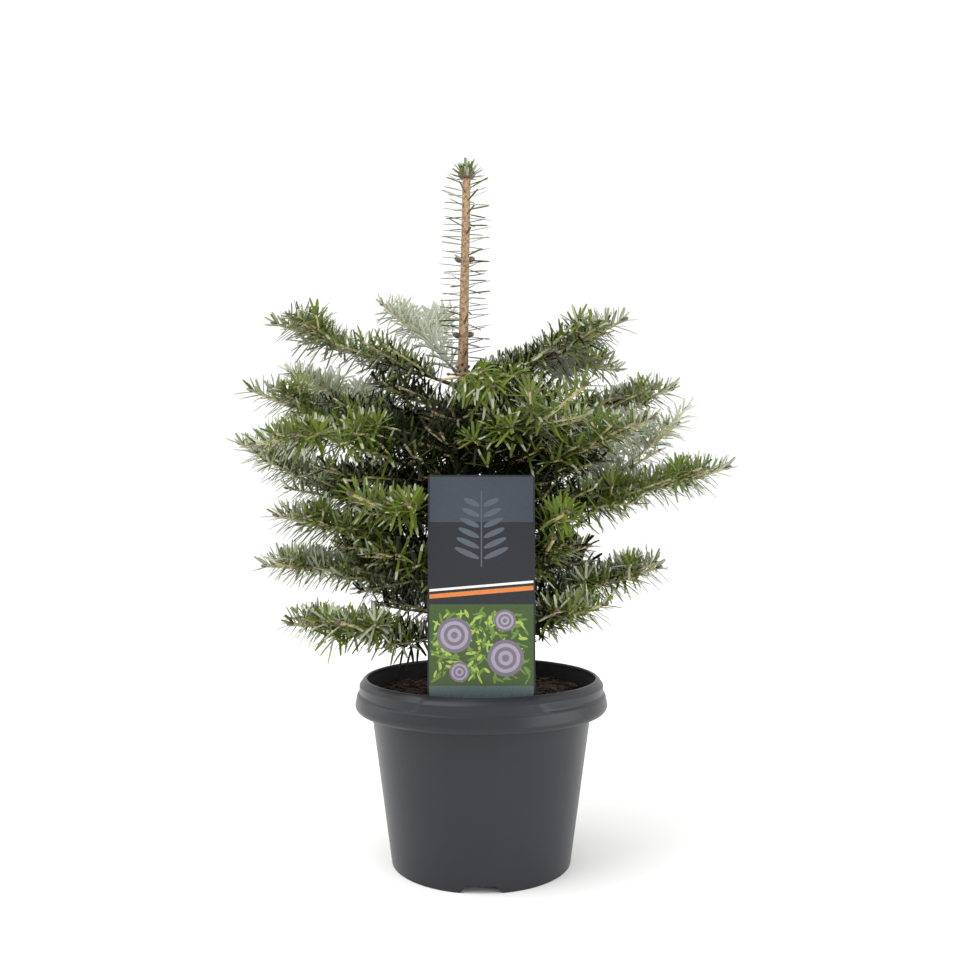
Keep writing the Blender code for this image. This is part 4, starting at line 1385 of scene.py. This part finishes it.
class FIR_OT_trunk(bpy.types.Operator):
    """Model the trunk and leader with bark relief, from the root flare to the tip"""

    bl_idname = "fir.trunk"
    bl_label = "Trunk"

    def execute(self, context):
        settings = context.scene.fir_bark
        foot = SOIL_TOP - 0.003
        heights = [foot + (TRUNK_TOP - foot) * k / TRUNK_RINGS for k in range(TRUNK_RINGS + 1)]
        line = [trunk_centre(h) for h in heights]
        radii = [trunk_radius(max(h, SOIL_TOP)) for h in heights]
        level = (Vector((1, 0, 0)), Vector((0, 1, 0)))

        def relief(k, j):
            angle, height = 2 * math.pi * j / TRUNK_SIDES, heights[k]
            bumps = noise.noise(polar(angle, 2.2, height * 260)) * 0.6
            bumps += noise.noise(polar(angle, 4.0, height * 60)) * 0.8
            roots = ROOT_LOBES * math.cos(5 * angle + 0.7) * math.exp(-(height - SOIL_TOP) / FLARE_HEIGHT)
            away = [(height - facts["height"]) / WHORL_SWELLING_HEIGHT for facts in WHORLS.values()]
            knees = WHORL_SWELLING * sum(math.exp(-(steps**2)) for steps in away)
            return 1 + bumps * settings.relief / radii[k] + roots + knees * (0.6 + 0.4 * math.cos(3 * angle))

        build = Build()
        build.add(*tube(line, radii, TRUNK_SIDES, level, relief))
        trunk = build.mesh_object("trunk_bark", [young_fir_bark(settings)], 60)
        turn_outwards(trunk)
        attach(trunk, "root")
        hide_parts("trunk")
        return {"FINISHED"}


def limb(build, line, radii, sides, slot, seed, rough):
    """A limb with uneven bark along a line."""

    def relief(k, j):
        angle = 2 * math.pi * j / sides
        place = Vector((math.cos(angle) * 1.6 + seed, math.sin(angle) * 1.6, k * 0.55))
        return 1 + rough * noise.noise(place)

    build.add(*tube(line, radii, sides, relief=relief), slot)


class FIR_OT_boughs(bpy.types.Operator):
    """Grow the woody boughs from the trunk to where their needles start"""

    bl_idname = "fir.boughs"
    bl_label = "Boughs"

    def execute(self, context):
        settings = context.scene.fir_bark
        crown = Crown()
        build = Build()
        nodes = []
        for number, (whorl, place) in enumerate(crown.lines):
            facts, spec = WHORLS[whorl], BOUGHS[whorl][place]
            nodes.append(f"bough_{whorl}_{place}")
            line = bough_line(whorl, spec, crown.steps[whorl, place], 0.0, facts["bare"] + 0.02, BOUGH_STEPS)
            face = trunk_radius(facts["height"]) / (spec[1] * facts["bare"])
            radii = []
            for k in range(BOUGH_STEPS + 1):
                share = k / BOUGH_STEPS
                # The foot swells where it meets the trunk's face
                flare = 0.55 * math.exp(-max(share - face, 0) * 14)
                radii.append(facts["thick"] * (1 - BOUGH_TAPER * share) * (1 + flare))
            limb(build, line, radii, BOUGH_SIDES, 0, number * 3.1, 0.16)
        wood = shoot_bark("older_shoot_cork", tuple(settings.wood), 0.75)
        boughs = build.mesh_object("bough_bark", [wood], 60)
        turn_outwards(boughs)
        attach(boughs, "root")
        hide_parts(*nodes)
        return {"FINISHED"}


def whorl_shoots(whorl, crown):
    """Every shoot of a whorl's masses: its mass, its line, its half thickness at both ends, and its order.

    The order is 0 for a mass's stem, 1 for its side shoots and 2 for their twigs.
    """
    if whorl == "inner":
        for line, order in inner_shoots(random.Random(INNER_SEED)):
            thick, thin = INNER_RADII
            yield None, resampled(line, RING_SPACING), (thick if order == 1 else TWIG_RADII[0], thin), order
        return
    # One seed for each mass, counted through all the whorls
    for seed, own in enumerate(crown.lines, start=1):
        if own[0] != whorl:
            continue
        shoots = mass_skeleton(*own, BOUGHS[whorl][own[1]], crown, random.Random(seed))
        fine = finer_shoots(shoots, HABITS.get(own) == "silvered", random.Random(TWIG_SEED + seed))
        start = WHORLS[whorl]["thick"] * (1 - BOUGH_TAPER)
        for index, line in enumerate(shoots):
            order = min(index, 1)
            yield own, resampled(line, RING_SPACING), (start * (1.0, 0.72)[order], SHOOT_TIP_RADIUS), order
        for line in fine:
            yield own, resampled(line, RING_SPACING), TWIG_RADII, 2


class FIR_OT_shoots(bpy.types.Operator):
    """Grow the shoots and their buds through the masses"""

    bl_idname = "fir.shoots"
    bl_label = "Shoots"

    def execute(self, context):
        settings = context.scene.fir_bark
        crown = Crown()
        shoots, buds = Build(), Build()
        number = 0
        for whorl in (*WHORLS, "inner"):
            for own, line, (thick, thin), order in whorl_shoots(whorl, crown):
                number += 1
                count = len(line)
                radii = [thick + (thin - thick) * k / (count - 1) for k in range(count)]
                # A main shoot's inner half is last year's wood
                split = count // 2 if order == 0 else 0
                if split > 1:
                    inner = slice(split + 1)
                    limb(shoots, line[inner], radii[inner], SHOOT_SIDES, 0, number * 1.7, 0.14)
                limb(shoots, line[split:], radii[split:], SHOOT_SIDES, 1, number * 1.7, 0.10)
                self.tip_buds(buds, line, thin, order, random.Random(number))
                if split > 1:
                    ahead = (line[split] - line[split - 1]).normalized()
                    self.ring_of_scales(buds, line[split], ahead, radii[split])
        self.leader_buds(buds)
        wood = shoot_bark("older_shoot_cork", tuple(settings.wood), 0.75)
        green = shoot_bark("first_year_shoot_skin", tuple(settings.green), 0.55)
        nodes = [f"foliage_{whorl}_{place}" for whorl, place in crown.lines]
        skin = shoots.mesh_object("shoot_skin", [wood, green], 60)
        turn_outwards(skin)
        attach(skin, "root")
        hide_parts(*nodes)
        scales = buds.mesh_object("buds", [resinous_scales(settings)], 50)
        turn_outwards(scales)
        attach(scales, "root")
        return {"FINISHED"}

    def bud(self, buds, root, direction, length, radius):
        line = [root + direction * length * share for share in BUD_PROFILE]
        buds.add(*tube(line, [radius * width for width in BUD_PROFILE.values()], 7))

    def tip_buds(self, buds, line, thin, order, rng):
        """A round bud at the tip, with smaller ones beside it on the larger shoots."""
        ahead = (line[-1] - line[-2]).normalized()
        size = BUD_LENGTHS[order]
        self.bud(buds, line[-1] - ahead * 0.001, ahead, size, thin * 1.45)
        if order == 2:
            return
        level, up = cross_axes(ahead)
        for side in (-1, 1):
            out = (ahead + level * side * rng.uniform(0.5, 0.9) + up * rng.uniform(-0.1, 0.3)).normalized()
            self.bud(buds, line[-1] - ahead * 0.0018, out, size * 0.85, thin * 1.15)

    def ring_of_scales(self, buds, centre, ahead, radius):
        """The collar of old bud scales that marks where a year's growth began."""
        level, up = cross_axes(ahead)
        for k in range(SCALE_COUNT):
            angle = 2 * math.pi * k / SCALE_COUNT
            out = math.cos(angle) * level + math.sin(angle) * up
            self.bud(buds, centre + out * radius * 0.7, (out * 0.8 + ahead).normalized(), *SCALE_SIZE)

    def leader_buds(self, buds):
        """The tip's large buds, the pairs along the leader and the small ones about its foot."""
        for k in range(5):
            out = polar(math.radians(20 + 72 * k), height=1.0).normalized()
            self.bud(buds, trunk_centre(TRUNK_TOP - 0.004) + out * 0.001, out, *TIP_RING_BUD)
        self.bud(buds, trunk_centre(TRUNK_TOP - 0.002), Vector((0, 0, 1)), *TIP_BUD)
        for height in BUD_RING_HEIGHTS:
            for k, turn in enumerate((-168, 22, 95)):
                out = polar(math.radians(turn), height=0.35).normalized()
                root = trunk_centre(height + 0.0009 * k) + out * trunk_radius(height) * 0.8
                self.bud(buds, root, out, *LEADER_BUD)
        for k in range(16):
            height = TOP_WHORL + 0.004 + 0.0007 * k
            out = polar(k * GOLDEN_ANGLE, height=0.7).normalized()
            root = trunk_centre(height) + out * trunk_radius(height) * 0.75
            self.bud(buds, root, out, *FOOT_BUD)


class FIR_OT_needles(bpy.types.Operator):
    """Set the needles on every shoot and on the leader, one joined piece for each whorl"""

    bl_idname = "fir.needles"
    bl_label = "Needles"

    def execute(self, context):
        settings = context.scene.fir_needles
        crown = Crown()
        self.materials = []
        for name, (setting, roughness) in NEEDLE_FACES.items():
            self.materials.append(needle_cuticle(name, tuple(getattr(settings, setting)), roughness))
        for index, whorl in enumerate((*WHORLS, "inner")):
            needles = Needles(settings.width)
            rng = random.Random(NEEDLE_SEED + index)
            for own, line, (thick, thin), order in whorl_shoots(whorl, crown):
                strength = (1.0, 1.0, 0.92)[order]
                habit = "inner" if whorl == "inner" else HABITS.get(own, "plain")
                needle_shoot(line, (thick + thin) / 2, settings, needles, rng, strength, habit)
            made = needles.mesh_object(f"needles_{whorl}", self.materials)
            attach(made, "root")
            if whorl in BOUGHS:
                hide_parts(*[f"foliage_{whorl}_{place}" for place in BOUGHS[whorl]])
        self.leader(settings)
        return {"FINISHED"}

    def leader(self, settings):
        """Needles that stand straight out of the leader, and a tuft about its tip."""
        needles = Needles(settings.width)
        rng = random.Random(LEADER_SEED)
        low, high = TOP_WHORL + 0.020, TRUNK_TOP - 0.006
        for k in range(LEADER_COUNT):
            share = (k + rng.random()) / LEADER_COUNT
            height = low + (high - low) * share
            angle = k * GOLDEN_ANGLE + rng.uniform(-0.2, 0.2)
            angle -= 0.34 * math.sin(2 * angle)
            rise = rng.uniform(-0.08, 0.16) + 0.4 * share**8
            out = polar(angle, height=rise).normalized()
            green = Matrix.Rotation(rng.uniform(-0.6, 0.6), 3, out) @ (Vector((0, 0, 1)) - out * out.z)
            root = trunk_centre(height) + Vector((out.x, out.y, 0)) * trunk_radius(height) * 0.8
            tone = rng.choice((MID, DEEP, DEEP))
            size = rng.uniform(0.0150, 0.0190)
            colours = (tone, rng.choice((DEEP, PALE, MID)), tone)
            needles.add(root, out, green.normalized(), size, 0.02, rng.uniform(-0.06, 0.08), colours, 0.85)
        top = trunk_centre(TRUNK_TOP - 0.003)
        for k in range(TUFT_COUNT):
            out = polar(k * GOLDEN_ANGLE, height=0.10 + 2.3 * (k / TUFT_COUNT) ** 1.4).normalized()
            green = Vector((0, 0, 1)) - out * out.z
            size = rng.uniform(0.0095, 0.0140)
            tone = rng.choice((FRESH, FRESH, MID))
            colours = (tone, rng.choice((FRESH, MID, PALE)), tone)
            needles.add(top + out * 0.002, out, green.normalized(), size, 0.0, 0.05, colours, 0.95)
        made = needles.mesh_object("needles_leader", self.materials)
        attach(made, "root")
        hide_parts("trunk")


FLOOR_RADIUS = 9.0
FLOOR_SIDES = 96
# The floor lies a tenth of a millimetre under the pot, so that their faces don't meet
FLOOR_DROP = 0.0001
SKY_STRENGTH = 1.05
CAMERA_OFFSET = -0.001
LIGHTS_AIM = Vector((0, 0, 0.25))
# Soft lights: place, size and power in watts
LIGHTS = {
    "key": ((-1.1, -0.6, 2.1), 2.0, 33.0),
    "right": ((1.6, -0.70, 0.35), 1.7, 19.0),
    "left": ((-1.7, 0.3, 0.7), 1.2, 5.0),
}


class FIR_OT_stage(bpy.types.Operator):
    """Lay the pale floor and set the soft lights and the camera"""

    bl_idname = "fir.stage"
    bl_label = "Stage"

    def execute(self, context):
        settings = context.scene.fir_stage
        scene = context.scene
        build = Build()
        turns = [2 * math.pi * k / FLOOR_SIDES for k in range(FLOOR_SIDES)]
        build.add([polar(turn, FLOOR_RADIUS, -FLOOR_DROP) for turn in turns], [tuple(range(FLOOR_SIDES))])
        floor = build.mesh_object("studio_floor", [matt_floor(tuple(settings.floor))])
        for name, facts in LIGHTS.items():
            self.light(name, *facts)
        world = bpy.data.worlds.new("studio")
        world.use_nodes = True
        background = world.node_tree.nodes["Background"]
        background.inputs["Color"].default_value = (1.0, 1.0, 1.0, 1.0)
        background.inputs["Strength"].default_value = SKY_STRENGTH
        scene.world = world
        scene.view_settings.view_transform = "Standard"
        data = bpy.data.cameras.new("camera")
        data.sensor_width = 36.0
        data.lens = settings.focal
        data.clip_start = 0.01
        camera = bpy.data.objects.new("camera", data)
        camera.location = (CAMERA_OFFSET, -settings.distance, settings.height)
        camera.rotation_euler = (math.pi / 2 + settings.tilt, 0.0, 0.0)
        scene.collection.objects.link(camera)
        scene.camera = camera
        return {"FINISHED"}

    def light(self, name, place, size, power):
        data = bpy.data.lights.new(name, "AREA")
        data.shape = "DISK"
        data.size = size
        data.energy = power
        made = bpy.data.objects.new(name, data)
        made.location = place
        made.rotation_euler = (LIGHTS_AIM - made.location).to_track_quat("-Z", "Y").to_euler()
        bpy.context.scene.collection.objects.link(made)


class FIR_PT_panel(bpy.types.Panel):
    """Settings and steps of the potted fir"""

    bl_idname = "FIR_PT_panel"
    bl_label = "Potted Korean Fir"
    bl_space_type = "VIEW_3D"
    bl_region_type = "UI"
    bl_category = "Fir"

    def draw(self, context):
        for operator, group in STEPS:
            box = self.layout.box()
            box.operator(operator.bl_idname)
            if group:
                settings = getattr(context.scene, group)
                for name in settings.bl_rna.properties.keys():
                    if name not in ("rna_type", "name"):
                        box.prop(settings, name)


GROUPS = {
    "fir_pot": FIR_PG_pot,
    "fir_card": FIR_PG_card,
    "fir_bark": FIR_PG_bark,
    "fir_needles": FIR_PG_needles,
    "fir_stage": FIR_PG_stage,
}
STEPS = (
    (FIR_OT_pot, "fir_pot"),
    (FIR_OT_soil, None),
    (FIR_OT_card, "fir_card"),
    (FIR_OT_trunk, "fir_bark"),
    (FIR_OT_boughs, None),
    (FIR_OT_shoots, None),
    (FIR_OT_needles, "fir_needles"),
    (FIR_OT_stage, "fir_stage"),
)


def register():
    for group in GROUPS.values():
        bpy.utils.register_class(group)
    for operator, _ in STEPS:
        bpy.utils.register_class(operator)
    bpy.utils.register_class(FIR_PT_panel)
    for name, group in GROUPS.items():
        setattr(bpy.types.Scene, name, bpy.props.PointerProperty(type=group))


def unregister():
    for name in GROUPS:
        delattr(bpy.types.Scene, name)
    bpy.utils.unregister_class(FIR_PT_panel)
    for operator, _ in reversed(STEPS):
        bpy.utils.unregister_class(operator)
    for group in GROUPS.values():
        bpy.utils.unregister_class(group)


def main():
    register()
    bpy.ops.fir.stage()
    bpy.ops.fir.pot()
    bpy.ops.fir.soil()
    bpy.ops.fir.card()
    bpy.ops.fir.trunk()
    bpy.ops.fir.boughs()
    bpy.ops.fir.shoots()
    bpy.ops.fir.needles()


if __name__ == "__main__":
    main()
